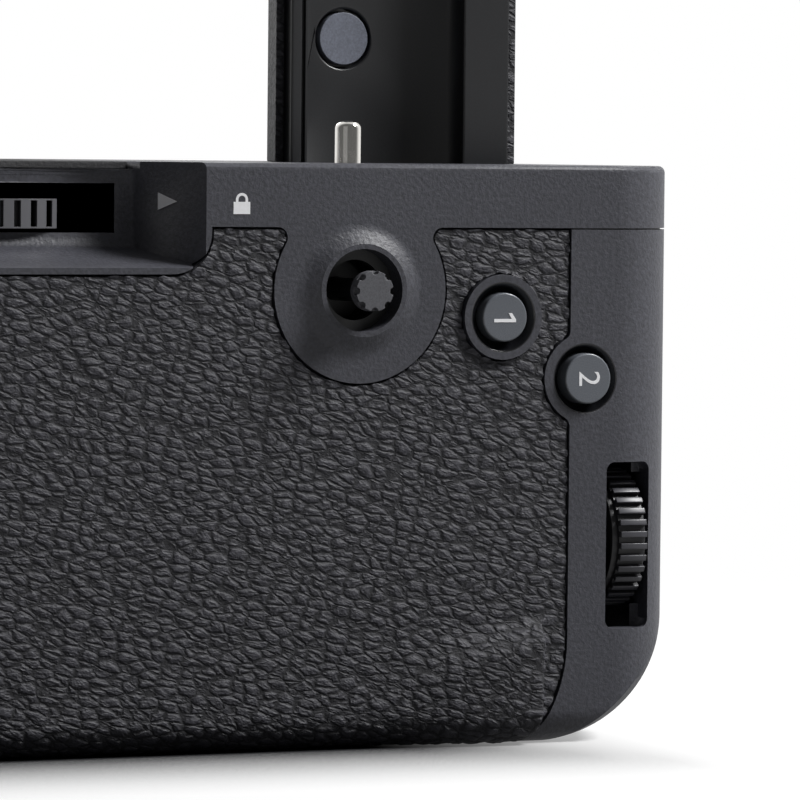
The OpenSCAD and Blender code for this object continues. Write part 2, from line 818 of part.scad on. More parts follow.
module left_frame() {
    color(shell_colour) difference() {
        intersection() {
            form(0);
            slab([left_x - cut, rear_y - cut, -cut], [frame_x, front_depth + cut, case_top_z]);
        }
        slab([left_x - cut, rear_y - cut, door_z0 - fit], [door_x + fit, front_depth + cut, door_z1 + fit]);
        slab([left_x - cut, inner_rear_y, tray_z - fit], [frame_x + cut, inner_front_y, chamber_z1]);
        slab([cam_end_x + wall, inner_rear_y, door_z1 - cut], [frame_x + cut, inner_front_y, body_h]);
        slab([door_x - cut, tray_mid_y - cam_w / 2 - fit, chamber_z1 - cut],
            [cam_end_x + 2 * fit, tray_mid_y + cam_reach, knob_z + cam_tip_r + fit]);
        top_region(seam_gap);
    }
}

module bottom_cover() {
    color(shell_colour) difference() {
        slab([bottom_left_x, bottom_rear_y, 0], [bottom_right_x, bottom_front_y, bottom_t]);
        tripod_plate_form(fit, -cut, tripod_plate_t + touch);
        bar_z(0, 0, -cut, bottom_t + cut, socket_r + fit);
        screw_places() {
            bar_z(0, 0, -cut, screw_head_t, screw_head_r + fit);
            bar_z(0, 0, -cut, bottom_t + cut, screw_shaft_r + fit);
        }
    }
}

// The square plate round the tripod socket, with round corners
module tripod_plate_form(gap, z0, z1) {
    half = tripod_plate_half + gap;
    r = socket_r / 2;
    translate([0, 0, z0]) linear_extrude(z1 - z0) outline([-half, -half], [half, half], [r, r, r, r]);
}

module screw_places() {
    for (x = [bottom_left_x + screw_inset, (bottom_left_x + bottom_right_x) / 2 - screw_middle,
        bottom_right_x - screw_inset]) {
        for (y = [bottom_rear_y + screw_inset, bottom_front_y - screw_inset]) {
            translate([x, y, 0]) children();
        }
    }
}

module tripod_plate() {
    color(metal_colour) difference() {
        tripod_plate_form(0, 0, tripod_plate_t);
        bar_z(0, 0, -cut, tripod_plate_t + cut, socket_r + fit);
    }
}

module tripod_socket() {
    color(metal_colour) difference() {
        union() {
            bar_z(0, 0, 0, tripod_depth, socket_r);
            bar_z(0, 0, chassis_z + plate_t + touch, tripod_depth, socket_flange_r);
        }
        bar_z(0, 0, -cut, tripod_depth + cut, tripod_r);
    }
}

module chassis_frame() {
    color(frame_colour) difference() {
        union() {
            slab([bottom_left_x, chassis_rear_y, chassis_z],
                [upright_x + plate_t, chassis_front_y, chassis_z + plate_t]);
            for (y = [chassis_rear_y, chassis_front_y - rail_w]) {
                slab([bottom_left_x, y, chassis_z], [upright_x, y + rail_w, tray_z - fit]);
            }
            slab([upright_x, chassis_rear_y, chassis_z], [upright_x + plate_t, chassis_front_y, deck_z]);
            slab([frame_x + fit, chassis_rear_y, chassis_top_z],
                [upright_x + plate_t, chassis_front_y, deck_z]);
            bar_z(0, 0, chassis_top_z, bearing_z - touch, bearing_r / 2);
        }
        bar_z(0, 0, -cut, tray_z, socket_r + fit);
        bar_z(0, 0, chassis_top_z - cut, body_h, shaft_r + 2 * fit);
        screw_places() bar_z(0, 0, -cut, tray_z - plate_t, screw_shaft_r + fit);
    }
}

// The bracket behind the controls of the right end
module handle_bracket() {
    color(frame_colour) {
        slab([bracket_x, dial_y + ear_r, dial_z - bracket_half_h],
            [bracket_x + plate_t, front_dial_y - ear_r, dial_z + bracket_half_h]);
        slab([upright_x + plate_t + touch, 0, dial_z - bracket_half_h],
            [bracket_x + touch, block_w, dial_z + bracket_half_h]);
    }
}

// Plan of the stalk between two heights: its tapered wedge, grown or cut back at the rear
module stalk_prism(grow, gap, rear_cut, z0, z1) {
    g = grow + gap;
    translate([0, 0, z0]) linear_extrude(z1 - z0) polygon([
        [stalk_x - g, stalk_rear_y + rear_cut - gap],
        [stalk_x + stalk_w + g, stalk_rear_y + rear_cut - gap],
        [stalk_x + stalk_w + g, stalk_rear_y + stalk_d * stalk_shoulder_share],
        [stalk_front_x + stalk_front_w + g, stalk_rear_y + stalk_d + g],
        [stalk_front_x - g * stalk_nose_share, stalk_rear_y + stalk_d + g],
        [stalk_x - g, stalk_rear_y + sleeve_left_back]]);
}

module stalk_core() {
    color(shell_colour) difference() {
        union() {
            stalk_prism(0, 0, 0, body_h - wall - stalk_flange_t, stalk_top_z);
            intersection() {
                stalk_prism(stalk_flange, 0, 0, body_h - wall - stalk_flange_t, body_h - wall - touch);
                form(wall + fit);
            }
        }
        slab([channel_x, stalk_rear_y - cut, body_h - touch],
            [channel_x + channel_w, stalk_rear_y + channel_d, stalk_top_z - channel_top]);
        slab([land_groove_x, stalk_rear_y - cut, body_h - touch],
            [land_groove_x + land_groove_w, stalk_rear_y + land_groove_d, stalk_top_z - channel_top]);
        bar_y(cap_x, body_h + cap_rise, stalk_rear_y, stalk_rear_y + channel_d + cap_t, cap_r + cap_gap);
        slab([stalk_mid_x - passage_w / 2, passage_y, body_h - 2 * wall - cut],
            [stalk_mid_x + passage_w / 2, passage_y + passage_d, stalk_top_z + cut]);
    }
}

module stalk_sleeve() {
    color(skin_colour) difference() {
        stalk_prism(sleeve_t, 0, 0, body_h + touch, stalk_top_z - sleeve_drop);
        stalk_prism(0, touch, -cut, body_h - cut, stalk_top_z);
        slab([stalk_x - 2 * sleeve_t, stalk_rear_y - cut, body_h - cut],
            [stalk_x + stalk_w / 2, stalk_rear_y + sleeve_left_back, stalk_top_z]);
        slab([stalk_x + stalk_w / 2, stalk_rear_y - cut, body_h - cut],
            [stalk_x + stalk_w + 2 * sleeve_t, stalk_rear_y + sleeve_right_back, stalk_top_z]);
    }
}

module stalk_cap() {
    floor_y = stalk_rear_y + channel_d;
    color(cap_colour) bar_y(cap_x, body_h + cap_rise, floor_y - fit, floor_y + cap_t - touch, cap_r);
}

// Terminal block and its spring contacts on the stalk's end
module stalk_terminals() {
    block_z = stalk_top_z + 2 * tray_wall;
    color(dark_colour) slab([stalk_front_x, passage_y - passage_d, stalk_top_z + touch],
        [stalk_front_x + stalk_front_w, stalk_rear_y + stalk_d, block_z]);
    for (i = [0 : contacts - 1]) {
        x = stalk_front_x + contact_w / 2 + i * contact_w;
        color(brass_colour) slab([x, passage_y, block_z],
            [x + contact_w / 2, stalk_rear_y + stalk_d - tray_wall, block_z + tray_wall]);
    }
}

module stalk_cable() {
    color(brass_colour) slab([stalk_mid_x - contact_w / 2, passage_y + passage_d / 2, cable_z + cable_t],
        [stalk_mid_x + contact_w / 2, passage_y + passage_d / 2 + cable_t, stalk_top_z]);
}

module guide_pins() {
    tip = guide_r * guide_tip_share;
    for (side = [-1, 1]) {
        color(metal_colour) translate([side * guide_x, -guide_y, 0]) {
            bar_z(0, 0, body_h - wall - stalk_flange_t, body_h - wall - touch, 2 * guide_r);
            bar_z(0, 0, body_h - wall - 2 * touch, body_h + guide_rise - tip, guide_r);
            translate([0, 0, body_h + guide_rise - tip]) intersection() {
                cylinder(r = guide_r, h = tip);
                cylinder(r1 = guide_r, r2 = guide_r - tip / 2, h = tip);
            }
        }
    }
}

module upper_button_bezel() {
    color(shell_colour) difference() {
        bar_y(upper_x, upper_z, rear_y - bezel_proud, inner_rear_y, bezel_r);
        translate([upper_x, rear_y - bezel_proud - touch, upper_z]) rotate([-90, 0, 0])
            cylinder(r1 = dish_r, r2 = upper_r + fit, h = dish_d);
        bar_y(upper_x, upper_z, rear_y - cut, inner_rear_y + cut, upper_r + running);
    }
}

// A round key: a cap, the flange that keeps it in its guide and its stem
module rear_key(x, z, r) {
    bar_y(x, z, rear_y - button_proud, flange_y + touch, r);
    bar_y(x, z, flange_y, flange_y + flange_t, r + flange_extra);
}

module upper_button() {
    color(dark_colour) rear_key(upper_x, upper_z, upper_r);
}

module corner_button() {
    color(dark_colour) rear_key(corner_x, corner_z, corner_r);
}

module control_board() {
    color(board_colour) slab([upper_x - dome_r - bracket_t, control_y, corner_z - dome_r - bracket_t],
        [corner_x + dome_r + bracket_t, control_y + board_t, upper_z + dome_r + bracket_t]);
    color(frame_colour) slab([upper_x, control_y + board_t, chassis_top_z - board_foot],
        [upper_x + bracket_t, chassis_rear_y, deck_z + bracket_t]);
}

module switch_domes() {
    for (p = [[upper_x, upper_z], [corner_x, corner_z]]) {
        color(metal_colour) bar_y(p.x, p.y, dome_y, control_y, dome_r);
    }
}

module stick_boot() {
    color(dark_colour) difference() {
        bar_y(stick_x, stick_z, inner_rear_y - boot_t, inner_rear_y, boot_r);
        bar_y(stick_x, stick_z, inner_rear_y - boot_t - cut, inner_rear_y + cut, boot_bore_r);
    }
}

// Round housing of the joystick, with bearings for the outer ring's pins
module stick_module() {
    color(frame_colour) difference() {
        union() {
            bar_y(stick_x, stick_z, inner_rear_y + fit, module_front_y, module_r);
            slab([stick_x - module_r, pivot_y, deck_z + touch],
                [stick_x + module_r, module_front_y, stick_z - module_r / 2]);
        }
        slab([stick_x - module_r - cut, rear_y, case_top_z + module_over],
            [stick_x + module_r + cut, module_front_y + cut, body_h]);
        bar_y(stick_x, stick_z, inner_rear_y - cut, module_floor_y, module_pocket_r);
        bar_y(stick_x, stick_z, pivot_y, module_floor_y + stick_travel + bracket_t, stick_shaft_r * 2);
        bar_x(pivot_y, stick_z, stick_x - module_r - cut, stick_x + module_r + cut, trunnion_r + running);
    }
}

module stick_gimbal() {
    color(metal_colour) difference() {
        union() {
            bar_y(stick_x, stick_z, pivot_y - gimbal_t / 2, pivot_y + gimbal_t / 2, gimbal_r);
            bar_x(pivot_y, stick_z, stick_x - module_r + fit, stick_x + module_r - fit, trunnion_r);
        }
        bar_y(stick_x, stick_z, pivot_y - gimbal_t, pivot_y + gimbal_t, gimbal_bore_r);
        bar_z(stick_x, pivot_y, stick_z - module_r, stick_z + module_r, trunnion_r + running);
    }
}

module stick_cradle() {
    color(frame_colour) difference() {
        union() {
            bar_y(stick_x, stick_z, pivot_y - gimbal_t / 2, pivot_y + gimbal_t / 2, cradle_r);
            bar_z(stick_x, pivot_y, stick_z - gimbal_r + fit, stick_z + gimbal_r - fit, trunnion_r);
        }
        bar_y(stick_x, stick_z, pivot_y - gimbal_t, pivot_y + gimbal_t, stick_shaft_r + running);
    }
}

module stick_shaft() {
    color(metal_colour)
        bar_y(stick_x, stick_z, stick_tip_y + stick_cap_t, pivot_y + gimbal_t / 2 + fit, stick_shaft_r);
}

// The scalloped cap that the thumb pushes
module stick_cap() {
    color(cap_colour) difference() {
        bar_y(stick_x, stick_z, stick_tip_y, stick_tip_y + stick_cap_t - touch, stick_cap_r);
        for (i = [0 : scallops - 1]) {
            turn = i * 360 / scallops;
            bar_y(stick_x + stick_cap_r * cos(turn), stick_z + stick_cap_r * sin(turn),
                stick_tip_y - cut, stick_tip_y + stick_cap_t / 2, scallop_r);
        }
    }
}

module shutter_button() {
    face_x = right_x + collar_rise + shutter_rise;
    color(metal_colour) {
        bar_x(shutter_y, end_z, right_x - wall / 2 + shutter_travel + fit, face_x, shutter_r);
        bar_x(shutter_y, end_z, right_x - wall - boss_l - end_flange_t - fit, face_x - touch, shutter_stem_r);
    }
}

module shutter_lever() {
    x0 = right_x + lever_lift;
    bore = shutter_r + shutter_gap + collar_wall + running;
    color(shell_colour) difference() {
        union() {
            bar_x(shutter_y, end_z, x0, x0 + lever_t, lever_r);
            slab([x0, shutter_y - lever_tab_w / 2, end_z],
                [x0 + lever_t, shutter_y + lever_tab_w / 2, end_z + lever_r + lever_tab]);
        }
        bar_x(shutter_y, end_z, x0 - cut, x0 + lever_t + cut, bore);
    }
}

module function_button() {
    inner_x = right_x - wall - boss_l / 2;
    color(dark_colour) {
        bar_x(function_y, end_z, inner_x - fit - touch, right_x + function_rise, function_r);
        bar_x(function_y, end_z, inner_x - fit - end_flange_t, inner_x - fit, function_r + flange_extra);
    }
}

module side_switches() {
    shutter_end_x = right_x - wall - boss_l - end_flange_t - fit - shutter_travel - switch_gap;
    function_end_x = right_x - wall - boss_l / 2 - fit - end_flange_t - side_travel - switch_gap;
    color(dark_colour) {
        slab([bracket_x + plate_t + touch, shutter_y - switch_w / 2, end_z - switch_w / 2],
            [shutter_end_x, shutter_y + switch_w / 2, end_z + switch_w / 2]);
        slab([bracket_x + plate_t + touch, function_y - switch_w / 2, end_z - switch_w / 2],
            [function_end_x, function_y + switch_w / 2, end_z + switch_w / 2]);
    }
}

// A ribbed thumb dial about the X axis
module thumb_dial(x0, width, y, z) {
    color(dark_colour) translate([x0, y, z]) rotate([0, 90, 0]) difference() {
        cylinder(r = dial_r, h = width);
        edge_slots(dial_r, dial_ribs, dial_rib_d, -cut, width + cut, dial_open_share);
        translate([0, 0, -cut]) cylinder(r = axle_r + touch, h = width + 2 * cut);
    }
}

module dial_axle(x0, x1, y, z) {
    color(metal_colour) bar_x(y, z, x0, x1, axle_r);
}

// Two ears on a back plate carry a dial's axle
module dial_bracket(x0, x1, plate_x, y, z, back) {
    color(frame_colour) difference() {
        union() {
            slab([plate_x, min(y + back, y + back + bracket_t * sign(back)), z - bracket_half_h],
                [x1, max(y + back, y + back + bracket_t * sign(back)), z + bracket_half_h]);
            for (x = [x0, x1 - ear_t]) {
                bar_x(y, z, x, x + ear_t, ear_r);
                slab([x, min(y, y + back), z - ear_r], [x + ear_t, max(y, y + back), z + ear_r]);
            }
        }
        bar_x(y, z, x0 - cut, x1 + cut, axle_r + running);
    }
}

module rear_dial() {
    thumb_dial(dial_x, dial_w, dial_y, dial_z);
    color(dark_colour) difference() {
        bar_x(dial_y, dial_z, dial_x - collar_t, dial_x + touch, dial_r - dial_rib_d - dial_rim);
        bar_x(dial_y, dial_z, dial_x - collar_t - cut, dial_x + cut, axle_r + touch);
    }
}

module rear_dial_axle() {
    dial_axle(rear_ear_x0 + fit, rear_ear_x1 - fit, dial_y, dial_z);
}

module rear_dial_bracket() {
    dial_bracket(rear_ear_x0, rear_ear_x1, bracket_x + plate_t + touch, dial_y, dial_z, dial_back);
}

module front_dial() {
    thumb_dial(front_dial_x - front_dial_w / 2, front_dial_w, front_dial_y, end_z);
}

module front_dial_axle() {
    dial_axle(front_ear_x0 + fit, front_ear_x1 - fit, front_dial_y, end_z);
}

module front_dial_bracket() {
    dial_bracket(front_ear_x0, front_ear_x1, bracket_x + plate_t + touch, front_dial_y, end_z, -dial_back);
}

module main_board() {
    color(board_colour) difference() {
        slab([main_board_x0, tray_mid_y - board_half_w, main_board_z],
            [main_board_x1, tray_mid_y + board_half_w, main_board_z + board_t]);
        bar_z(0, 0, main_board_z - cut, main_board_z + board_t + cut, bearing_r / 2 + fit);
    }
    color(metal_colour) for (x = [main_board_x0 + standoff_inset, main_board_x1 - standoff_inset]) {
        for (side = [-1, 1]) {
            y = tray_mid_y + side * (board_half_w - standoff_inset);
            bar_z(x, y, deck_z + touch, main_board_z + touch, standoff_r);
        }
    }
}

module board_parts() {
    for (i = [0 : chips - 1]) {
        x = chips_x0 + i * chip_pitch;
        y = tray_mid_y - chip_back;
        color(dark_colour) slab([x, y, main_board_z + board_t + touch],
            [x + chip_pitch * chip_share, y + chip_w, main_board_z + board_t + chip_t]);
    }
}

// The ribbon from the main board to the controls
module flex_cable() {
    x0 = main_board_x1 - cable_w / 2;
    color(brass_colour) slab([x0, module_front_y + bracket_t, cable_z + touch],
        [stalk_mid_x + cable_w / 2, module_front_y + bracket_t + cable_w, cable_z + cable_t]);
    color(brass_colour) slab([upper_x, control_y + board_t + touch, cable_z + touch],
        [upper_x + cable_w / 2, module_front_y + bracket_t + touch, cable_z + cable_t]);
    color(brass_colour) slab([stalk_mid_x - cable_w / 2, module_front_y + bracket_t, cable_z + touch],
        [stalk_mid_x + cable_w / 2, passage_y + passage_d, cable_z + cable_t]);
}

module contact_block() {
    half = contacts * contact_w;
    color(dark_colour) slab([block_x, tray_mid_y - half, battery_z + contact_w],
        [upright_x - touch, tray_mid_y + half, battery_z + half]);
}

// Spring contacts that press on the tray's end
module battery_contacts() {
    for (i = [0 : contacts - 1]) {
        y = tray_mid_y + (i - (contacts - 1) / 2) * contact_pitch;
        color(brass_colour) slab([tray_end_x + contact_reach, y - contact_w / 4, battery_z + 2 * contact_w],
            [block_x - touch, y + contact_w / 4, battery_z + 3 * contact_w]);
    }
}

module battery_tray() {
    color(dark_colour) {
        slab([door_x + touch, tray_mid_y - tray_half_w, tray_z],
            [tray_end_x, tray_mid_y + tray_half_w, tray_z + tray_wall]);
        for (side = [0, 1]) {
            y = tray_mid_y - tray_half_w + side * (2 * tray_half_w - tray_wall);
            slab([door_x + touch, y, tray_z], [tray_end_x, y + tray_wall, tray_z + tray_side_h]);
        }
        for (x = [tray_end_x - tray_wall, battery_x2 - battery_gap - tray_wall]) {
            slab([x, tray_mid_y - tray_half_w, tray_z],
                [x + tray_wall, tray_mid_y + tray_half_w, tray_z + tray_side_h]);
        }
    }
}

module batteries() {
    r = battery_h * battery_round_share;
    for (x = [battery_x1, battery_x2]) {
        color(dark_colour) translate([x, 0, 0]) rotate([90, 0, 90]) linear_extrude(battery_l)
            outline([tray_mid_y - battery_w / 2, battery_z],
                [tray_mid_y + battery_w / 2, battery_z + battery_h], [r, r, r, r]);
    }
}

module tray_door() {
    color(shell_colour) difference() {
        intersection() {
            form(0);
            slab([left_x - cut, rear_y - cut, door_z0], [door_x, front_depth + cut, door_z1]);
        }
        bar_x(tray_mid_y, knob_z, left_x - cut, left_x + knob_t + fit, knob_r + fit);
        bar_x(tray_mid_y, knob_z, left_x, door_x + cut, hub_r + running);
        door_seal_form(touch);
    }
}

// The flat ring of the door's seal, set in the door's inner face
module door_seal_form(gap) {
    difference() {
        slab([door_x - seal_t - gap, inner_rear_y - seal_t, tray_z - 2 * seal_t],
            [door_x + gap, inner_front_y + seal_t, chamber_z1 + seal_t]);
        slab([door_x - seal_t - cut, inner_rear_y, tray_z - seal_t],
            [door_x + cut, inner_front_y, chamber_z1 - seal_t]);
    }
}

module door_seal() {
    color(rubber_colour) door_seal_form(0);
}

module latch_knob() {
    color(dark_colour) {
        bar_x(tray_mid_y, knob_z, left_x + knob_bar_t, left_x + knob_t, knob_r);
        bar_x(tray_mid_y, knob_z, left_x + knob_t - touch, cam_end_x, hub_r);
        slab([left_x, tray_mid_y - knob_r + knob_bar_t, knob_z - knob_bar_w / 2],
            [left_x + knob_bar_t + touch, tray_mid_y + knob_r - knob_bar_t, knob_z + knob_bar_w / 2]);
    }
}

// The cam on the knob's hub, which turns up behind the frame to lock the door
module latch_cam() {
    color(metal_colour) difference() {
        union() {
            bar_x(tray_mid_y, knob_z, door_x + fit, cam_end_x, hub_r + cam_rim);
            slab([door_x + fit, tray_mid_y, knob_z - cam_w / 2],
                [cam_end_x, tray_mid_y + cam_reach, knob_z + cam_w / 2]);
        }
        bar_x(tray_mid_y, knob_z, door_x, cam_end_x + cut, hub_r + touch);
    }
}

module lock_wheel() {
    color(cap_colour) difference() {
        bar_z(0, 0, wheel_bottom_z, wheel_top_z, wheel_r);
        edge_slots(wheel_r, wheel_ribs, rib_depth, wheel_bottom_z + rib_rim, wheel_top_z - rib_rim,
            rib_open_share);
        bar_z(0, 0, wheel_bottom_z - cut, wheel_top_z + cut, shaft_r + touch);
    }
}

module camera_screw() {
    color(metal_colour) {
        bar_z(0, 0, bearing_z - wheel_t, body_h + touch, shaft_r);
        bar_z(0, 0, body_h, body_h + screw_rise, screw_r);
    }
}

module spring_washer() {
    color(metal_colour) difference() {
        bar_z(0, 0, wheel_bottom_z - washer_t, wheel_bottom_z - fit, bearing_r - washer_margin);
        bar_z(0, 0, wheel_bottom_z - washer_t - cut, wheel_bottom_z + cut, shaft_r + fit);
    }
}

module screw_bearing() {
    color(brass_colour) difference() {
        bar_z(0, 0, bearing_z, bearing_z + bearing_t, bearing_r);
        bar_z(0, 0, bearing_z - cut, bearing_z + bearing_t + cut, shaft_r + running);
    }
}

module case_screws() {
    color(metal_colour) screw_places() {
        difference() {
            bar_z(0, 0, touch, screw_head_t - touch, screw_head_r);
            slab([-screw_shaft_r, -screw_slot, -cut], [screw_shaft_r, screw_slot, screw_slot_d]);
            slab([-screw_slot, -screw_shaft_r, -cut], [screw_slot, screw_shaft_r, screw_slot_d]);
        }
        bar_z(0, 0, screw_head_t - 2 * touch, screw_l, screw_shaft_r);
    }
}

top_cover();
top_pad();
rear_case();
rear_leather();
front_case();
front_leather();
right_shell();
left_frame();
bottom_cover();
tripod_plate();
tripod_socket();
chassis_frame();
handle_bracket();
stalk_core();
stalk_sleeve();
stalk_cap();
stalk_terminals();
stalk_cable();
guide_pins();
upper_button_bezel();
stick_boot();
stick_module();
stick_gimbal();
stick_cradle();
stick_shaft();
stick_cap();
upper_button();
corner_button();
function_button();
shutter_button();
shutter_lever();
side_switches();
control_board();
switch_domes();
main_board();
board_parts();
flex_cable();
rear_dial();
rear_dial_axle();
rear_dial_bracket();
front_dial();
front_dial_axle();
front_dial_bracket();
contact_block();
battery_contacts();
battery_tray();
batteries();
tray_door();
door_seal();
latch_knob();
latch_cam();
lock_wheel();
camera_screw();
spring_washer();
screw_bearing();
case_screws();
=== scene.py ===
import json
import math

import bmesh
import bpy
from mathutils import Matrix, Vector


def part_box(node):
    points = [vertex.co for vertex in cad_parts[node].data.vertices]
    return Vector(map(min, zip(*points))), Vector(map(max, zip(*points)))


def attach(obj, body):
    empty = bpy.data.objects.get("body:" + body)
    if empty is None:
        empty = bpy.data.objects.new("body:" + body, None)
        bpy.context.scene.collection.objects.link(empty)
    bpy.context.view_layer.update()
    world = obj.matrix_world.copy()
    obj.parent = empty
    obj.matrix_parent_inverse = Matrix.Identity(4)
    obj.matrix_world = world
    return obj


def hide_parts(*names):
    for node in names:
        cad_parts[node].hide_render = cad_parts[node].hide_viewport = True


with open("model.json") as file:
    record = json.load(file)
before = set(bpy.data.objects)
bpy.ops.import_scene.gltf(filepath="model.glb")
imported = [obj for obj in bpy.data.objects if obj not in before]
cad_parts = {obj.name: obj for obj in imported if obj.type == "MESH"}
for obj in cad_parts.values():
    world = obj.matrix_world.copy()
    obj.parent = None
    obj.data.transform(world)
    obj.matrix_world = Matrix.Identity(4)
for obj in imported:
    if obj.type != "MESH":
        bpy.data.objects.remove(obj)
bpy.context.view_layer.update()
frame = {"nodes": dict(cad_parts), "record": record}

MM = 0.001
BODY_OF = {n: body for body, nodes in frame["record"]["behaviour"]["bodies"].items() for n in nodes}

# Places on the grip, in metres, read from the frame. The skin lies this much proud of the rear case.
skin_rise = 0.95 * MM
top_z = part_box("top_cover")[1].z
rear_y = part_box("rear_case")[0].y - skin_rise

# Places on the grip in millimetres: the flat faces, the round of the rear right corner and the finger bay
REAR_Y, RIGHT_X, TOP_Z = -22, 68, 56
CORNER_X, CORNER_Y, CORNER_R = 60, -14, 8
BAY_HALF_W, BAY_BACK_Y, BAY_LOW_Z, BAY_HIGH_Z = 12.2, -13, 47.9, 55.3
BAY_WALL_RUN = (4.6, -9.0)
NEAR = 0.01

# How edges are treated: the angle past which one is rounded, how much further shading stays smooth, how far
# apart loose corners are joined in CAD and in small print, and the angle under which faces are one
SHARP_ANGLE = 32
SMOOTH_MARGIN = 8
JOIN_DISTANCE = 0.002 * MM
TINY = 1e-6
FLAT_ANGLE = 0.4


# Small helpers for the work on a mesh

def select_only(piece):
    bpy.ops.object.select_all(action="DESELECT")
    piece.select_set(True)
    bpy.context.view_layer.objects.active = piece


def edit(piece):
    """Opens a piece in edit mode with everything selected."""
    select_only(piece)
    bpy.ops.object.mode_set(mode="EDIT")
    bpy.ops.mesh.select_all(action="SELECT")


def leave_edit():
    bpy.ops.object.mode_set(mode="OBJECT")


def apply_modifier(piece, kind, **settings):
    """Adds a modifier to a piece and applies it."""
    select_only(piece)
    modifier = piece.modifiers.new(kind.lower(), kind)
    for key, value in settings.items():
        setattr(modifier, key, value)
    bpy.ops.object.modifier_apply(modifier=modifier.name)


def soften(piece, width, segments=2, angle=SHARP_ANGLE):
    """Rounds a piece's outer edges and smooths its faces, with the large flat faces kept even."""
    edit(piece)
    mesh = bmesh.from_edit_mesh(piece.data)
    weight = mesh.edges.layers.float.new("bevel_weight_edge")
    for e in mesh.edges:
        if len(e.link_faces) == 2 and e.is_convex and e.calc_face_angle() > math.radians(angle):
            e[weight] = 1.0
    bmesh.update_edit_mesh(piece.data)
    leave_edit()
    apply_modifier(piece, "BEVEL", width=width, segments=segments, limit_method="WEIGHT",
                   use_clamp_overlap=True, harden_normals=False, miter_outer="MITER_ARC")
    select_only(piece)
    bpy.ops.object.shade_smooth_by_angle(angle=math.radians(max(angle, SHARP_ANGLE) + SMOOTH_MARGIN))
    apply_modifier(piece, "WEIGHTED_NORMAL", keep_sharp=True)


def settle(piece):
    """Bakes a piece's place into its mesh, so that its object sits at the origin."""
    select_only(piece)
    bpy.ops.object.transform_apply(location=True, rotation=True, scale=True)


def finish_piece(piece, material, body, nodes=()):
    """Gives a piece its finish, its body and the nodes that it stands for."""
    piece.data.materials.clear()
    piece.data.materials.append(material)
    if nodes:
        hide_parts(*nodes)
    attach(piece, body)
    return piece


def mended_copy(node, name, dissolve=True):
    """A copy of a CAD node with its loose triangles joined, and merged into whole faces if asked."""
    piece = bpy.data.objects.new(name, frame["nodes"][node].data.copy())
    bpy.context.scene.collection.objects.link(piece)
    edit(piece)
    bpy.ops.mesh.remove_doubles(threshold=JOIN_DISTANCE)
    if dissolve:
        bpy.ops.mesh.dissolve_limited(angle_limit=math.radians(FLAT_ANGLE))
    leave_edit()
    return piece


def round_off(piece, chosen, width, segments):
    """Rounds off the edges whose two ends, in millimetres, a test picks."""
    edit(piece)
    bpy.ops.mesh.select_all(action="DESELECT")
    mesh = bmesh.from_edit_mesh(piece.data)
    for e in mesh.edges:
        e.select = all(chosen(*(v.co / MM)) for v in e.verts) and len(e.link_faces) == 2
    bmesh.update_edit_mesh(piece.data)
    bpy.ops.mesh.bevel(offset=width, segments=segments, affect="EDGES", clamp_overlap=False)
    leave_edit()


def on_right_side(x, y):
    """Whether a place lies on the upright rear right corner or on the right side in front of it."""
    off_round = abs(math.hypot(x - CORNER_X, y - CORNER_Y) - CORNER_R)
    return x > RIGHT_X - 2 * NEAR or (x > CORNER_X and y < CORNER_Y + NEAR and off_round < 3 * NEAR)


def on_top_rim(x, y, z):
    """The rear and right rim of the top face, from the finger bay to the stalk's far side."""
    bay_end, rim_end = 16.7, 36
    return z > TOP_Z - NEAR and ((y < REAR_Y + NEAR and x > bay_end) or (on_right_side(x, y) and y < rim_end))


def on_bay_corner(x, y, z):
    """The upright inner corners of the finger bay."""
    return (abs(abs(x) - BAY_HALF_W) < 2 * NEAR and abs(y - BAY_BACK_Y) < 2 * NEAR
            and BAY_LOW_Z < z < BAY_HIGH_Z)


# Edges that get a wider round than the rest of their node: the test, the width and the segments
WIDE_ROUNDS = {
    "top_cover": [(on_top_rim, 0.65 * MM, 4), (on_bay_corner, 1.2 * MM, 5)],
}


def rounded_node(node, material, width, segments=2, angle=SHARP_ANGLE, dissolve=True):
    """The dressed form of a CAD node: its own shape with rounded edges."""
    piece = mended_copy(node, node + "_form", dissolve)
    for chosen, wide, steps in WIDE_ROUNDS.get(node, ()):
        round_off(piece, chosen, wide, steps)
    soften(piece, width, segments, angle)
    return finish_piece(piece, material, BODY_OF[node], (node,))


# Small helpers for node trees

def add(tree, kind, inputs=None, **settings):
    """A node of a kind, with its settings and its inputs: plain values or other nodes' sockets."""
    new = tree.nodes.new(kind)
    for key, value in settings.items():
        setattr(new, key, value)
    for key, value in (inputs or {}).items():
        if isinstance(value, bpy.types.NodeSocket):
            tree.links.new(value, new.inputs[key])
        else:
            new.inputs[key].default_value = value
    return new


def new_finish(name):
    """A fresh material, its tree and its shader."""
    material = bpy.data.materials.new(name)
    material.use_nodes = True
    tree = material.node_tree
    return material, tree, tree.nodes["Principled BSDF"]


def noise(tree, where, size, detail=2.0, roughness=0.5):
    """Noise of a feature size in metres."""
    return add(tree, "ShaderNodeTexNoise", {"Vector": where, "Scale": 1 / size, "Detail": detail,
                                            "Roughness": roughness}).outputs["Fac"]


def ranged(tree, value, low, high, to_low, to_high, smooth=False):
    kind = "SMOOTHSTEP" if smooth else "LINEAR"
    return add(tree, "ShaderNodeMapRange", {0: value, 1: low, 2: high, 3: to_low, 4: to_high},
               interpolation_type=kind).outputs[0]


def calc(tree, operation, a, b=0.0):
    return add(tree, "ShaderNodeMath", {0: a, 1: b}, operation=operation).outputs[0]


def shade(colour, share):
    return tuple(c * share for c in colour) + (1.0,)


def tinted(tree, colour, fac, dark, light):
    """A colour that runs from a dark to a light share of itself."""
    return add(tree, "ShaderNodeMix", {0: fac, 6: shade(colour, dark), 7: shade(colour, light)},
               data_type="RGBA").outputs[2]


# Finishes

ZONE_EDGE = 0.05 * MM


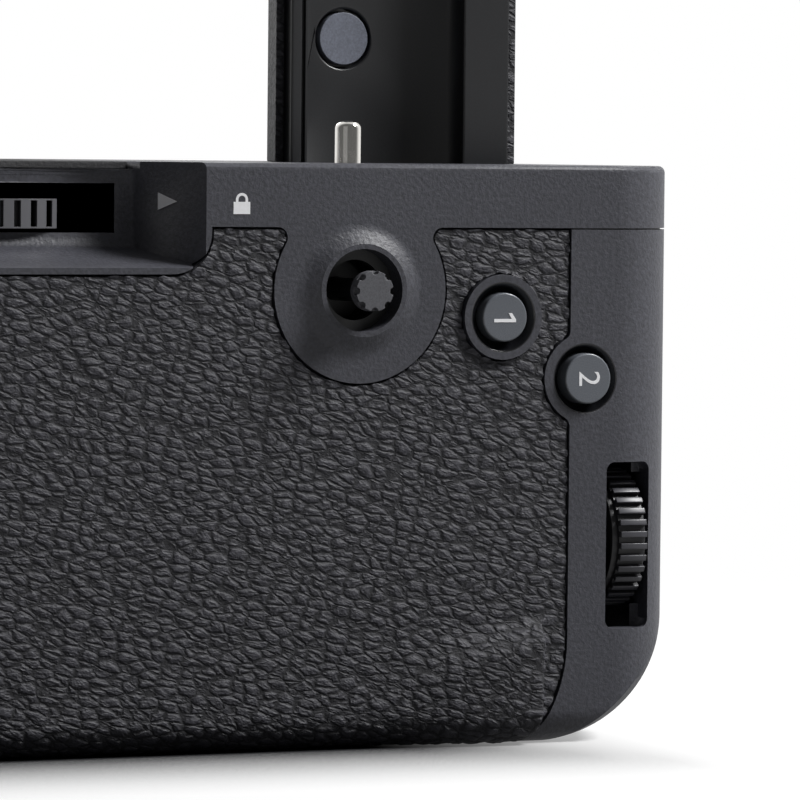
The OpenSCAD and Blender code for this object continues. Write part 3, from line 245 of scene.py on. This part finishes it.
def moulded(name, colour, roughness, grain=0.26 * MM, depth=0.012 * MM, metallic=0.0, cloud=18 * MM,
            speckle=0.3, zones=()):
    """Moulded or coated surface: a fine grain, with slow changes of tone and gloss.

    A zone is a round place with a colour and gloss of its own, also used for painted highlights and painted
    shade: its centre, the mask of the axes that its distance is measured on, its radius, whether it lies
    outside the radius, its share of the colour and its gloss."""
    material, tree, shader = new_finish(name)
    where = add(tree, "ShaderNodeTexCoord").outputs["Object"]
    fine = noise(tree, where, grain, 3.0, 0.6)
    slow = noise(tree, where, cloud, 3.0)
    spots = ranged(tree, fine, 0.3, 0.7, 0.0, 1.0)
    tone = calc(tree, "ADD", calc(tree, "MULTIPLY", spots, 0.75), calc(tree, "MULTIPLY", slow, 0.25))
    paint = tinted(tree, colour, tone, 1 - speckle, 1 + speckle)
    gloss = ranged(tree, slow, 0.3, 0.7, roughness - 0.04, roughness + 0.05)
    relief = fine
    for centre, axes, radius, outside, share, zone_roughness in zones:
        flat = add(tree, "ShaderNodeVectorMath", {0: where, 1: axes}, operation="MULTIPLY").outputs[0]
        flat_centre = [c * a for c, a in zip(centre, axes)]
        distance = add(tree, "ShaderNodeVectorMath", {0: flat, 1: flat_centre},
                       operation="DISTANCE").outputs["Value"]
        inside = ranged(tree, distance, radius - ZONE_EDGE, radius + ZONE_EDGE,
                        float(not outside), float(outside))
        paint = add(tree, "ShaderNodeMix", {0: inside, 6: paint, 7: shade(colour, share)},
                    data_type="RGBA").outputs[2]
        gloss = add(tree, "ShaderNodeMix", {0: inside, 2: gloss, 3: zone_roughness}).outputs[0]
        relief = calc(tree, "MULTIPLY", relief, calc(tree, "SUBTRACT", 1.0, inside))
    tree.links.new(paint, shader.inputs["Base Color"])
    tree.links.new(gloss, shader.inputs["Roughness"])
    shader.inputs["Metallic"].default_value = metallic
    bump = add(tree, "ShaderNodeBump", {"Height": relief, "Distance": depth, "Strength": 1.0})
    tree.links.new(bump.outputs[0], shader.inputs["Normal"])
    return material


# The leather's rows of pebbles fall to the right, and a pebble is this wide, deep and high
LEATHER_LEAN = math.radians(-15)
PEBBLE = Vector((1.75, 1.3, 0.86)) * MM


def pushed_about(tree, where, scale, amount, detail=2.0):
    """Places pushed about by a slow noise, so that a pattern on them loses its regularity."""
    drift = add(tree, "ShaderNodeTexNoise", {"Vector": where, "Scale": scale, "Detail": detail,
                                             "Roughness": 0.6}).outputs["Color"]
    centred = add(tree, "ShaderNodeVectorMath", {0: drift, 1: (0.5, 0.5, 0.5)},
                  operation="SUBTRACT").outputs[0]
    pushed = add(tree, "ShaderNodeVectorMath", {0: centred, "Scale": amount}, operation="SCALE").outputs[0]
    return add(tree, "ShaderNodeVectorMath", {0: where, 1: pushed}, operation="ADD").outputs[0]


def pebble_height(tree, where):
    """Height of the leather grain, 0 in the creases and 1 on the pebbles, for meshes and materials alike."""
    turned = add(tree, "ShaderNodeVectorRotate", {"Vector": where, "Axis": (0, 1, 0), "Angle": LEATHER_LEAN},
                 rotation_type="AXIS_ANGLE").outputs[0]
    scaled = add(tree, "ShaderNodeVectorMath", {0: turned, 1: [1 / s for s in PEBBLE]},
                 operation="MULTIPLY").outputs[0]
    bent = pushed_about(tree, scaled, 0.45, 0.9)
    scalloped = pushed_about(tree, bent, 2.4, 0.35, 1.0)
    edges = add(tree, "ShaderNodeTexVoronoi", {"Vector": scalloped, "Scale": 1.0, "Randomness": 0.8},
                feature="DISTANCE_TO_EDGE").outputs["Distance"]
    pillows = ranged(tree, edges, 0.0, 0.24, 0.0, 1.0, True)
    lumps = ranged(tree, noise(tree, bent, 0.36, 1.0), 0.3, 0.7, 0.6, 1.0, True)
    return calc(tree, "MULTIPLY", pillows, lumps)


def leather(name, colour, depth):
    """Leather-grained skin: pebbles with a fine matt grain on top, their colour darkened in the creases as
    painted shade.
    """
    material, tree, shader = new_finish(name)
    where = add(tree, "ShaderNodeTexCoord").outputs["Object"]
    height = pebble_height(tree, where)
    fine = noise(tree, where, 0.22 * MM, 3.0, 0.65)
    tone = calc(tree, "ADD", calc(tree, "MULTIPLY", height, 0.8), calc(tree, "MULTIPLY", fine, 0.35))
    # Painted shade: the colour runs from dark in the creases to light on the pebble tops, with the fine grain
    # mixed in.
    tree.links.new(tinted(tree, colour, tone, 0.15, 1.45), shader.inputs["Base Color"])
    tree.links.new(ranged(tree, height, 0.0, 1.0, 0.78, 0.56), shader.inputs["Roughness"])
    relief = calc(tree, "ADD", height, calc(tree, "MULTIPLY", fine, 0.45))
    bump = add(tree, "ShaderNodeBump", {"Height": relief, "Distance": depth, "Strength": 1.0})
    tree.links.new(bump.outputs[0], shader.inputs["Normal"])
    return material


def printed(name, colour):
    """Printed ink: nearly even, with a faint mottle."""
    material, tree, shader = new_finish(name)
    where = add(tree, "ShaderNodeTexCoord").outputs["Object"]
    mottle = noise(tree, where, 0.3 * MM, 2.0)
    tree.links.new(tinted(tree, colour, mottle, 0.93, 1.05), shader.inputs["Base Color"])
    shader.inputs["Roughness"].default_value = 0.6
    return material


def turned_metal(name, colour, roughness, scratch=0.4 * MM):
    """Machined metal with fine tool marks."""
    material, tree, shader = new_finish(name)
    where = add(tree, "ShaderNodeTexCoord").outputs["Object"]
    stretched = add(tree, "ShaderNodeVectorMath", {0: where, 1: (1.0, 1.0, 8.0)},
                    operation="MULTIPLY").outputs[0]
    marks = noise(tree, stretched, scratch, 4.0, 0.7)
    tree.links.new(tinted(tree, colour, marks, 0.88, 1.08), shader.inputs["Base Color"])
    gloss = ranged(tree, marks, 0.3, 0.7, roughness * 0.7, roughness * 1.3)
    tree.links.new(gloss, shader.inputs["Roughness"])
    shader.inputs["Metallic"].default_value = 1.0
    bump = add(tree, "ShaderNodeBump", {"Height": marks, "Distance": 0.004 * MM, "Strength": 0.6})
    tree.links.new(bump.outputs[0], shader.inputs["Normal"])
    return material


def board(name, colour):
    """Circuit board: solder mask over a faint pattern of tracks."""
    material, tree, shader = new_finish(name)
    where = add(tree, "ShaderNodeTexCoord").outputs["Object"]
    tracks = add(tree, "ShaderNodeTexBrick", {"Vector": where, "Scale": 260.0, "Mortar Size": 0.03,
                                              "Color1": shade(colour, 1.0), "Color2": shade(colour, 0.85),
                                              "Mortar": shade(colour, 1.7)})
    tree.links.new(tracks.outputs["Color"], shader.inputs["Base Color"])
    shader.inputs["Roughness"].default_value = 0.35
    return material


# The axes that a zone's distance is measured on: round an axis, or along X alone
ALONG_Y = (1, 0, 1)
ALONG_X = (0, 1, 1)
ALONG_Z = (1, 1, 0)
ON_X = (1, 0, 0)


def middle(node):
    low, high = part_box(node)
    return (low + high) / 2


upper_axis = middle("upper_button")
corner_axis = middle("corner_button")
dial_axis = middle("rear_dial")
front_dial_axis = middle("front_dial")
dial_r = (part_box("rear_dial")[1].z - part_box("rear_dial")[0].z) / 2
dial_half_w = (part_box("rear_dial")[1].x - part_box("rear_dial")[0].x) / 2
wheel_r = (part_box("lock_wheel")[1].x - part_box("lock_wheel")[0].x) / 2
dish_r = 3.38 * MM
shell_colour = (0.0447, 0.0455, 0.056)

shell_finish = moulded("shell_plastic", shell_colour, 0.5, 0.4 * MM, 0.07 * MM, speckle=0.45,
                       zones=[(corner_axis, ALONG_Y, dish_r, False, 0.12, 0.22)])
bezel_finish = moulded("bezel_plastic", shell_colour, 0.5, 0.4 * MM, 0.05 * MM, speckle=0.4,
                       zones=[(upper_axis, ALONG_Y, dish_r, False, 0.12, 0.22)])
skin_finish = leather("leather_skin", (0.026, 0.0257, 0.0325), 0.14 * MM)
sleeve_finish = leather("sleeve_skin", (0.037, 0.037, 0.043), 0.14 * MM)
smooth_finish = moulded("smooth_plastic", (0.012, 0.012, 0.013), 0.42, 0.12 * MM, 0.002 * MM)
stalk_finish = moulded("stalk_plastic", (0.014, 0.0145, 0.016), 0.34, 0.2 * MM, 0.002 * MM)
key_finish = moulded("key_plastic", (0.118, 0.128, 0.146), 0.32, 0.1 * MM, 0.001 * MM)
# The dials' rib tops are painted lighter, a painted highlight on their edges, and the rear dial's end faces
# are painted darker as painted shade.
dial_finish = moulded("dial_plastic", (0.012, 0.012, 0.014), 0.45, 0.15 * MM, 0.004 * MM, speckle=0.2,
                      zones=[(dial_axis, ALONG_X, dial_r - 0.16 * MM, True, 4.5, 0.4),
                             (dial_axis, ON_X, dial_half_w - 0.08 * MM, True, 0.3, 0.5)])
front_dial_finish = moulded("front_dial_plastic", (0.02, 0.02, 0.021), 0.45, 0.15 * MM, 0.004 * MM,
                            speckle=0.2,
                            zones=[(front_dial_axis, ALONG_X, dial_r - 0.16 * MM, True, 4.5, 0.4)])
grey_finish = moulded("grey_plastic", (0.15, 0.162, 0.2), 0.5, 0.2 * MM, 0.002 * MM)
stick_finish = moulded("stick_plastic", (0.085, 0.086, 0.096), 0.6, 0.15 * MM, 0.003 * MM)
pad_finish = moulded("pad_rubber", (0.03, 0.03, 0.032), 0.8, 0.35 * MM, 0.12 * MM)
rubber_finish = moulded("dark_rubber", (0.004, 0.004, 0.0045), 0.5, 0.2 * MM, 0.004 * MM)
# The lock wheel's rib tops are painted lighter: a painted highlight.
wheel_finish = moulded("wheel_metal", (0.022, 0.022, 0.024), 0.4, 0.2 * MM, 0.003 * MM, 0.1, speckle=0.2,
                       zones=[((0, 0, 0), ALONG_Z, wheel_r - 0.25 * MM, True, 5.5, 0.38)])
coated_finish = moulded("coated_steel", (0.03, 0.03, 0.032), 0.4, 0.25 * MM, 0.006 * MM, 0.3)
battery_finish = moulded("battery_case", (0.05, 0.05, 0.053), 0.5, 0.2 * MM, 0.006 * MM)
cast_finish = moulded("cast_frame", (0.34, 0.35, 0.36), 0.5, 0.5 * MM, 0.03 * MM, 0.7)
ribbon_finish = moulded("ribbon_film", (0.35, 0.14, 0.02), 0.3, 0.3 * MM, 0.001 * MM)
steel_finish = turned_metal("turned_steel", (0.62, 0.62, 0.64), 0.28)
chrome_finish = turned_metal("chrome", (0.86, 0.84, 0.8), 0.1)
brass_finish = turned_metal("gold_plate", (0.8, 0.6, 0.28), 0.25)
board_finish = board("board_mask", (0.02, 0.12, 0.05))
ink_finish = printed("white_ink", (0.95, 0.95, 0.97))


# Leather skins

def raise_grain(piece, depth):
    """Raises the grain of the leather on a piece's mesh, where its outer attribute is 1."""
    tree = bpy.data.node_groups.new("grain", "GeometryNodeTree")
    tree.interface.new_socket("Geometry", in_out="INPUT", socket_type="NodeSocketGeometry")
    tree.interface.new_socket("Geometry", in_out="OUTPUT", socket_type="NodeSocketGeometry")
    start = add(tree, "NodeGroupInput")
    end = add(tree, "NodeGroupOutput")
    where = add(tree, "GeometryNodeInputPosition").outputs[0]
    normal = add(tree, "GeometryNodeInputNormal").outputs[0]
    height = pebble_height(tree, where)
    level = 0.85
    rise = calc(tree, "MULTIPLY", calc(tree, "SUBTRACT", height, level), depth)
    offset = add(tree, "ShaderNodeVectorMath", {0: normal, "Scale": rise}, operation="SCALE").outputs[0]
    outer = add(tree, "GeometryNodeInputNamedAttribute", {"Name": "outer"}, data_type="FLOAT").outputs[0]
    masked = add(tree, "ShaderNodeVectorMath", {0: offset, "Scale": outer}, operation="SCALE").outputs[0]
    moved = add(tree, "GeometryNodeSetPosition", {"Geometry": start.outputs[0], "Offset": masked})
    tree.links.new(moved.outputs[0], end.inputs[0])
    modifier = piece.modifiers.new("grain", "NODES")
    modifier.node_group = tree
    select_only(piece)
    bpy.ops.object.modifier_apply(modifier=modifier.name)
    bpy.data.node_groups.remove(tree)


def step(edge, value, width):
    """A smooth step from 0 to 1 across a width that ends at an edge."""
    t = min(max((value - edge + width) / width, 0.0), 1.0)
    return t * t * (3 - 2 * t)


# The thumb rest: its right end and its top, how far it swells in from them, the lean of its top, the round
# of its lower corner and how far it stands out
thumb_right_x = 52.4 * MM
thumb_top_z = 12.6 * MM
thumb_reach_x = 18 * MM
thumb_fade_z = 6.5 * MM
thumb_lean = 0.13
thumb_corner_r = 3.2 * MM
thumb_rise = 1.75 * MM


def thumb_swell(x, z):
    """How far the thumb rest swells out at a place on the rear: a slow rise to a crisp right end."""
    bottom = max(thumb_corner_r - z, 0.0)
    end = thumb_right_x - (thumb_corner_r - math.sqrt(max(thumb_corner_r ** 2 - bottom ** 2, 0.0))) * 0.8
    along = step(end - 0.8 * MM, x, thumb_reach_x) * (1 - step(end, x, 0.6 * MM))
    top = thumb_top_z - thumb_lean * (thumb_right_x - x)
    up = 1 - step(top, z, thumb_fade_z * (0.35 + 0.65 * min(max((end - x) / thumb_reach_x, 0.0), 1.0)))
    return thumb_rise * along * up


def rear_skin():
    """The leather on the rear: a fine sheet bent round the bottom edge, cut to the CAD skin's outline."""
    low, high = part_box("rear_leather")
    inset, sheet_thickness, grain_depth, smooth_angle = 0.04 * MM, 0.7 * MM, 0.2 * MM, 50
    foot_r = 3.4 * MM - inset
    pitch = 0.35 * MM
    spare = MM
    face_y = rear_y + inset
    straight = high.z + spare - foot_r - inset
    arc = foot_r * math.pi / 2
    run = high.y + spare - (face_y + foot_r)
    length = straight + arc + run
    width = high.x - low.x + 2 * spare
    bpy.ops.mesh.primitive_grid_add(x_subdivisions=round(width / pitch), y_subdivisions=round(length / pitch),
                                    size=1)
    sheet = bpy.context.object
    sheet.name = "rear_skin"
    for v in sheet.data.vertices:
        along = (0.5 - v.co.y) * length
        x = low.x - spare + (v.co.x + 0.5) * width
        if along < straight:
            y, z = face_y, high.z + spare - along
        elif along < straight + arc:
            turn = (along - straight) / foot_r
            y = face_y + foot_r * (1 - math.cos(turn))
            z = inset + foot_r * (1 - math.sin(turn))
        else:
            y, z = face_y + foot_r + along - straight - arc, inset
        v.co = (x, y, z)
    settle(sheet)
    apply_modifier(sheet, "SOLIDIFY", thickness=sheet_thickness, offset=-1.0)
    edit(sheet)
    bpy.ops.mesh.normals_make_consistent(inside=False)
    leave_edit()
    cutter = mended_copy("rear_leather", "cutter")
    apply_modifier(sheet, "BOOLEAN", operation="INTERSECT", solver="EXACT", object=cutter)
    bpy.data.objects.remove(cutter)
    outer = sheet.data.attributes.new("outer", "FLOAT", "POINT")
    for v in sheet.data.vertices:
        on_face = abs(v.co.y - face_y) < NEAR * MM
        off_foot = math.hypot(v.co.y - face_y - foot_r, v.co.z - inset - foot_r)
        on_foot = v.co.z < foot_r * 0.999 + inset and off_foot > foot_r * 0.99
        outer.data[v.index].value = 1.0 if on_face or on_foot or v.co.z < inset * 1.01 else 0.0
        if on_face or on_foot:
            v.co.y -= thumb_swell(v.co.x, v.co.z)
    raise_grain(sheet, grain_depth)
    select_only(sheet)
    bpy.ops.object.shade_smooth_by_angle(angle=math.radians(smooth_angle))
    return finish_piece(sheet, skin_finish, "root", ("rear_leather",))


# Seams

def seam_shade_lip():
    """The near-black inner lip that closes the seam between the top cover and the right shell: painted shade,
    a dark sheet that keeps the seam dark.
    """
    inset, thick, low, high = 0.4, 0.5, 49.2, 50.5
    left_x, front_y = 55.4, 34
    rings = []
    for d in (inset, inset + thick):
        r = CORNER_R - d
        turn = [(CORNER_X + r * math.sin(math.radians(a)), CORNER_Y - r * math.cos(math.radians(a)))
                for a in range(0, 91, 6)]
        rings.append([(left_x, REAR_Y + d)] + turn + [(RIGHT_X - d, front_y)])
    outline = rings[0] + rings[1][::-1]
    mesh = bpy.data.meshes.new("seam_shade_lip")
    mesh.from_pydata([(x * MM, y * MM, low * MM) for x, y in outline], [], [tuple(range(len(outline)))])
    lip = bpy.data.objects.new("seam_shade_lip", mesh)
    bpy.context.scene.collection.objects.link(lip)
    edit(lip)
    bpy.ops.mesh.select_all(action="SELECT")
    bpy.ops.mesh.extrude_region_move(TRANSFORM_OT_translate={"value": (0, 0, (high - low) * MM)})
    bpy.ops.mesh.select_all(action="SELECT")
    bpy.ops.mesh.normals_make_consistent(inside=False)
    leave_edit()
    return finish_piece(lip, rubber_finish, "root")


# Marks printed on the shells

def flat_mark(name, outline, place, right, up, body="root"):
    """A thin printed shape: an outline in millimetres, laid at a place with its own right and up."""
    mesh = bpy.data.meshes.new(name)
    out = right.cross(up)
    thickness = 0.03 * MM
    sunk_share = 0.9
    front = [place + right * x * MM + up * z * MM + out * thickness for x, z in outline]
    mesh.from_pydata([tuple(p) for p in front], [], [tuple(range(len(front)))])
    piece = bpy.data.objects.new(name, mesh)
    bpy.context.scene.collection.objects.link(piece)
    edit(piece)
    bpy.ops.mesh.extrude_region_move(TRANSFORM_OT_translate={"value": tuple(-out * thickness * sunk_share)})
    bpy.ops.mesh.select_all(action="SELECT")
    bpy.ops.mesh.normals_make_consistent(inside=False)
    leave_edit()
    return finish_piece(piece, ink_finish, body)


def arc_points(x, z, r, start, end, count):
    """Points along an arc of a radius round a place, from one angle to another."""
    return [(x + r * math.cos(math.radians(start + (end - start) * i / count)),
             z + r * math.sin(math.radians(start + (end - start) * i / count))) for i in range(count + 1)]


def bay_marks():
    """The arrow on the bay's steep wall and the padlock beside it."""
    arrow_x, arrow_z = 14.57, 52.27
    run_x, run_y = BAY_WALL_RUN
    wall_right = Vector((run_x, run_y, 0)).normalized()
    up = Vector((0, 0, 1))
    share = (arrow_x - BAY_HALF_W) / run_x
    place = Vector((arrow_x, BAY_BACK_Y + run_y * share, arrow_z)) * MM
    flat_mark("arrow_mark", [(-1.15, -0.83), (1.25, 0.0), (-1.15, 0.83)], place, wall_right, up)
    right = Vector((1, 0, 0))
    lock_x, lock_z = 20.4, 52.1
    lock_place = Vector((lock_x * MM, rear_y, lock_z * MM))
    half_w, foot, top = 0.85, -0.95, 0.2
    case = [(-half_w, foot), (half_w, foot), (half_w, top), (-half_w, top)]
    flat_mark("lock_mark_case", case, lock_place, right, up)
    centre, outer_r, inner_r, steps = 0.42, 0.62, 0.36, 16
    hoop = arc_points(0, centre, outer_r, 0, 180, steps) + [(-outer_r, top), (-inner_r, top)]
    hoop += arc_points(0, centre, inner_r, 180, 0, steps) + [(inner_r, top), (outer_r, top)]
    flat_mark("lock_mark_hoop", hoop, lock_place, right, up)


def key_one(node):
    """A printed 1 on a round key, turned to be read with the grip held upright."""
    low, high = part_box(node)
    proud = 0.002 * MM
    place = Vector(((low.x + high.x) / 2, low.y - proud, (low.z + high.z) / 2))
    foot, top, stem_left, stem_right = -1.15, 1.15, 0.15, 0.47
    outline = [(stem_left, foot), (stem_right, foot), (stem_right, top), (0.19, top),
               (-0.42, 0.72), (-0.42, 0.36), (stem_left, 0.7)]
    return flat_mark("digit_" + node, outline, place, Vector((0, 0, -1)), Vector((1, 0, 0)), BODY_OF[node])


def key_two(node):
    """A printed 2 on a round key, turned to be read with the grip held upright."""
    low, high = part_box(node)
    centre = (low + high) / 2
    proud = 0.006 * MM
    bpy.ops.object.text_add(location=(0, 0, 0))
    text = bpy.context.object
    text.name = "digit_" + node
    text.data.body = "2"
    text.data.size = 3.2 * MM
    text.data.extrude = 0.012 * MM
    text.data.align_x = "CENTER"
    text.data.align_y = "CENTER"
    select_only(text)
    bpy.ops.object.convert(target="MESH")
    mark = bpy.context.object
    mark.rotation_euler = (math.radians(90), math.radians(90), 0)
    mark.location = (centre.x, low.y - proud, centre.z)
    settle(mark)
    edit(mark)
    bpy.ops.mesh.remove_doubles(threshold=TINY)
    bpy.ops.mesh.normals_make_consistent(inside=False)
    leave_edit()
    return finish_piece(mark, ink_finish, BODY_OF[node])


# Round pieces

def guide_pin(side):
    """A chrome pin with a rounded tip, standing in the top face. Its hidden collar is twice as wide."""
    low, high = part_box("guide_pins")
    r = 1.3 * MM
    collar_r = 2 * r
    tip_round = 0.75 * MM
    x = high.x - collar_r if side > 0 else low.x + collar_r
    y = (low.y + high.y) / 2
    foot = top_z - 2 * MM
    bpy.ops.mesh.primitive_cylinder_add(vertices=64, radius=r, depth=high.z - foot,
                                        location=(x, y, (high.z + foot) / 2))
    pin = bpy.context.object
    pin.name = "guide_pin_right" if side > 0 else "guide_pin_left"
    settle(pin)
    edit(pin)
    bpy.ops.mesh.select_all(action="DESELECT")
    mesh = bmesh.from_edit_mesh(pin.data)
    for e in mesh.edges:
        e.select = all(v.co.z > high.z - TINY for v in e.verts) and len(e.link_faces) == 2
    bmesh.update_edit_mesh(pin.data)
    bpy.ops.mesh.bevel(offset=tip_round, segments=8, affect="EDGES")
    leave_edit()
    select_only(pin)
    bpy.ops.object.shade_smooth_by_angle(angle=math.radians(35))
    return finish_piece(pin, chrome_finish, "root", ("guide_pins",) if side > 0 else ())


# Room and camera

def room():
    """A pale floor that keeps the grip's shadow, with a painted contact shadow close under it, and a studio
    whose front shines in glossy surfaces.
    """
    floor_size, floor_drop = 6, 0.02 * MM
    glow_start, glow_end = 0.07, 0.26
    painted_shadow_reach, painted_shadow_darkest, painted_shadow_clear = 0.032, 0.48, 0.97
    beside_start, beside_end = 0.035, 0.066
    bpy.ops.mesh.primitive_plane_add(size=floor_size, location=(0, 0, -floor_drop))
    ground = bpy.context.object
    ground.name = "ground"
    material = bpy.data.materials.new("ground_white")
    material.use_nodes = True
    tree = material.node_tree
    tree.nodes.clear()
    where = add(tree, "ShaderNodeTexCoord").outputs["Object"]
    tone = ranged(tree, noise(tree, where, 0.4, 1.0), 0.3, 0.7, 0.88, 0.92)
    path = add(tree, "ShaderNodeLightPath")
    tone = calc(tree, "MULTIPLY", tone, ranged(tree, path.outputs["Is Camera Ray"], 0.0, 1.0, 0.15, 1.0))
    paper = add(tree, "ShaderNodeBsdfDiffuse", {"Color": add(tree, "ShaderNodeCombineColor",
                {0: tone, 1: tone, 2: tone}).outputs[0]})
    glow = add(tree, "ShaderNodeEmission", {"Color": (1, 1, 1, 1), "Strength": 1.0})
    seen = calc(tree, "MAXIMUM", path.outputs["Is Camera Ray"], path.outputs["Is Glossy Ray"])
    away = add(tree, "ShaderNodeVectorMath", {0: where}, operation="LENGTH").outputs["Value"]
    share = calc(tree, "MULTIPLY", seen, ranged(tree, away, glow_start, glow_end, 0.5, 1.0, True))
    mixed = add(tree, "ShaderNodeMixShader", {0: share, 1: paper.outputs[0], 2: glow.outputs[0]})
    # Painted shadow: near the grip the floor is mixed towards a dark diffuse by ambient occlusion, and this
    # painting fades out beside the grip along X.
    open_share = add(tree, "ShaderNodeAmbientOcclusion", {"Distance": painted_shadow_reach}, samples=8).outputs["AO"]
    across = add(tree, "ShaderNodeSeparateXYZ", {0: where}).outputs[0]
    beside = ranged(tree, across, beside_start, beside_end, 0.0, 1.0, True)
    clear_of_painted_shadow = calc(tree, "MAXIMUM", ranged(tree, open_share, painted_shadow_darkest, painted_shadow_clear, 0.0, 1.0), beside)
    dark = add(tree, "ShaderNodeBsdfDiffuse", {"Color": (0.02, 0.02, 0.022, 1)})
    shaded = add(tree, "ShaderNodeMixShader", {0: clear_of_painted_shadow, 1: dark.outputs[0], 2: mixed.outputs[0]})
    add(tree, "ShaderNodeOutputMaterial", {"Surface": shaded.outputs[0]})
    ground.data.materials.append(material)

    world = bpy.data.worlds.new("studio")
    bpy.context.scene.world = world
    world.use_nodes = True
    tree = world.node_tree
    tree.nodes.clear()
    path = add(tree, "ShaderNodeLightPath")
    direct = calc(tree, "MAXIMUM", path.outputs["Is Camera Ray"], path.outputs["Is Transmission Ray"])
    heading = add(tree, "ShaderNodeTexCoord").outputs["Generated"]
    forward = add(tree, "ShaderNodeVectorMath", {0: heading, 1: (0.45, 0.85, 0.25)},
                  operation="DOT_PRODUCT").outputs["Value"]
    mirrored = ranged(tree, forward, -0.2, 0.5, 0.12, 0.95, True)
    strength = calc(tree, "ADD", calc(tree, "MULTIPLY", path.outputs["Is Glossy Ray"], mirrored),
                    calc(tree, "MULTIPLY", calc(tree, "SUBTRACT", 1.0, path.outputs["Is Glossy Ray"]), 0.07))
    sky = add(tree, "ShaderNodeBackground", {"Color": (1, 1, 1, 1),
                                             "Strength": calc(tree, "MAXIMUM", direct, strength)})
    add(tree, "ShaderNodeOutputWorld", {"Surface": sky.outputs[0]})


def lamp(name, place, aim, size, power):
    """A soft rectangular lamp at a place, turned to what it lights."""
    data = bpy.data.lights.new(name, "AREA")
    data.shape = "RECTANGLE"
    data.size, data.size_y = size
    data.energy = power
    light = bpy.data.objects.new(name, data)
    light.location = place
    light.rotation_euler = (Vector(aim) - Vector(place)).to_track_quat("-Z", "Y").to_euler()
    bpy.context.scene.collection.objects.link(light)


def camera():
    """The photograph's view: 24 degrees round to the left, level with the top face, through a long lens."""
    azimuth, pitch, roll = math.radians(24.138), math.radians(2.45), math.radians(0.561)
    eye_x, eye_y, eye_z = -192.80 * MM, -534.66 * MM, 57.50 * MM
    lens, sensor_width, nearest, farthest = 264.84, 36, 0.01, 20
    forward = Vector((math.sin(azimuth) * math.cos(pitch), math.cos(azimuth) * math.cos(pitch),
                      -math.sin(pitch)))
    right = forward.cross(Vector((0, 0, 1))).normalized()
    up = right.cross(forward)
    turn = Matrix.Rotation(-roll, 3, forward)
    right, up = turn @ right, turn @ up
    data = bpy.data.cameras.new("camera")
    data.sensor_width = sensor_width
    data.lens = lens
    data.clip_start, data.clip_end = nearest, farthest
    eye = bpy.data.objects.new("camera", data)
    eye.matrix_world = Matrix((
        (right.x, up.x, -forward.x, eye_x),
        (right.y, up.y, -forward.y, eye_y),
        (right.z, up.z, -forward.z, eye_z),
        (0, 0, 0, 1)))
    bpy.context.scene.collection.objects.link(eye)
    bpy.context.scene.camera = eye


# The finish of each CAD node that keeps its own mesh
PLAIN_NODES = {
    "rear_case": shell_finish, "front_case": shell_finish, "tripod_plate": coated_finish,
    "chassis_frame": cast_finish, "handle_bracket": cast_finish, "stalk_cable": ribbon_finish,
    "stick_boot": rubber_finish, "stick_module": smooth_finish, "stick_gimbal": rubber_finish,
    "stick_cradle": rubber_finish, "stick_shaft": smooth_finish, "side_switches": smooth_finish,
    "control_board": board_finish, "switch_domes": steel_finish, "main_board": board_finish,
    "board_parts": smooth_finish, "flex_cable": ribbon_finish, "rear_dial_axle": steel_finish,
    "rear_dial_bracket": cast_finish, "front_dial_axle": steel_finish, "front_dial_bracket": cast_finish,
    "contact_block": smooth_finish, "battery_contacts": brass_finish, "door_seal": rubber_finish,
    "latch_cam": steel_finish, "spring_washer": steel_finish, "screw_bearing": brass_finish,
}
# The CAD nodes that get rounded edges: finish, edge width and segments, and where they differ from most, the
# angle past which edges are rounded and whether faces are merged first
ROUNDED_NODES = {
    "top_cover": (shell_finish, 0.22 * MM, 3, 19), "right_shell": (shell_finish, 0.22 * MM, 3),
    "left_frame": (shell_finish, 0.2 * MM, 2), "bottom_cover": (shell_finish, 0.15 * MM, 2),
    "front_leather": (skin_finish, 0.15 * MM, 2),
    "stalk_core": (stalk_finish, 0.25 * MM, 3, SHARP_ANGLE, False),
    "stalk_sleeve": (sleeve_finish, 0.12 * MM, 2), "stalk_cap": (grey_finish, 0.08 * MM, 2),
    "stalk_terminals": (smooth_finish, 0.08 * MM, 2), "upper_button_bezel": (bezel_finish, 0.1 * MM, 3, 19),
    "stick_cap": (stick_finish, 0.1 * MM, 3), "upper_button": (key_finish, 0.18 * MM, 3),
    "corner_button": (key_finish, 0.18 * MM, 3), "function_button": (key_finish, 0.15 * MM, 3),
    "shutter_button": (steel_finish, 0.3 * MM, 4), "shutter_lever": (smooth_finish, 0.2 * MM, 3),
    "rear_dial": (dial_finish, 0.06 * MM, 2), "front_dial": (front_dial_finish, 0.06 * MM, 2),
    "tray_door": (shell_finish, 0.2 * MM, 2), "latch_knob": (smooth_finish, 0.15 * MM, 3),
    "battery_tray": (smooth_finish, 0.1 * MM, 2), "batteries": (battery_finish, 0.3 * MM, 3),
    "lock_wheel": (wheel_finish, 0.12 * MM, 2), "camera_screw": (steel_finish, 0.25 * MM, 3),
    "tripod_socket": (steel_finish, 0.15 * MM, 2), "case_screws": (coated_finish, 0.08 * MM, 2),
    "top_pad": (pad_finish, 0.12 * MM, 2),
}


camera()
room()
lamp("key_light", (0.6, -0.32, 0.7), (0.02, 0, 0.03), (0.28, 0.28), 13)
lamp("fill_light", (-0.7, -0.7, 0.35), (0.02, 0, 0.03), (0.7, 0.7), 0.2)
lamp("back_light", (0.1, 0.9, 0.6), (0.02, 0, 0.04), (0.9, 0.5), 3)

for node_name, finish in PLAIN_NODES.items():
    mesh = frame["nodes"][node_name].data
    mesh.materials.clear()
    mesh.materials.append(finish)
for node_name, form in ROUNDED_NODES.items():
    rounded_node(node_name, *form)

rear_skin()
seam_shade_lip()
bay_marks()
key_one("upper_button")
key_two("corner_button")
for pin_side in (-1, 1):
    guide_pin(pin_side)

bpy.context.scene.view_settings.view_transform = "Standard"
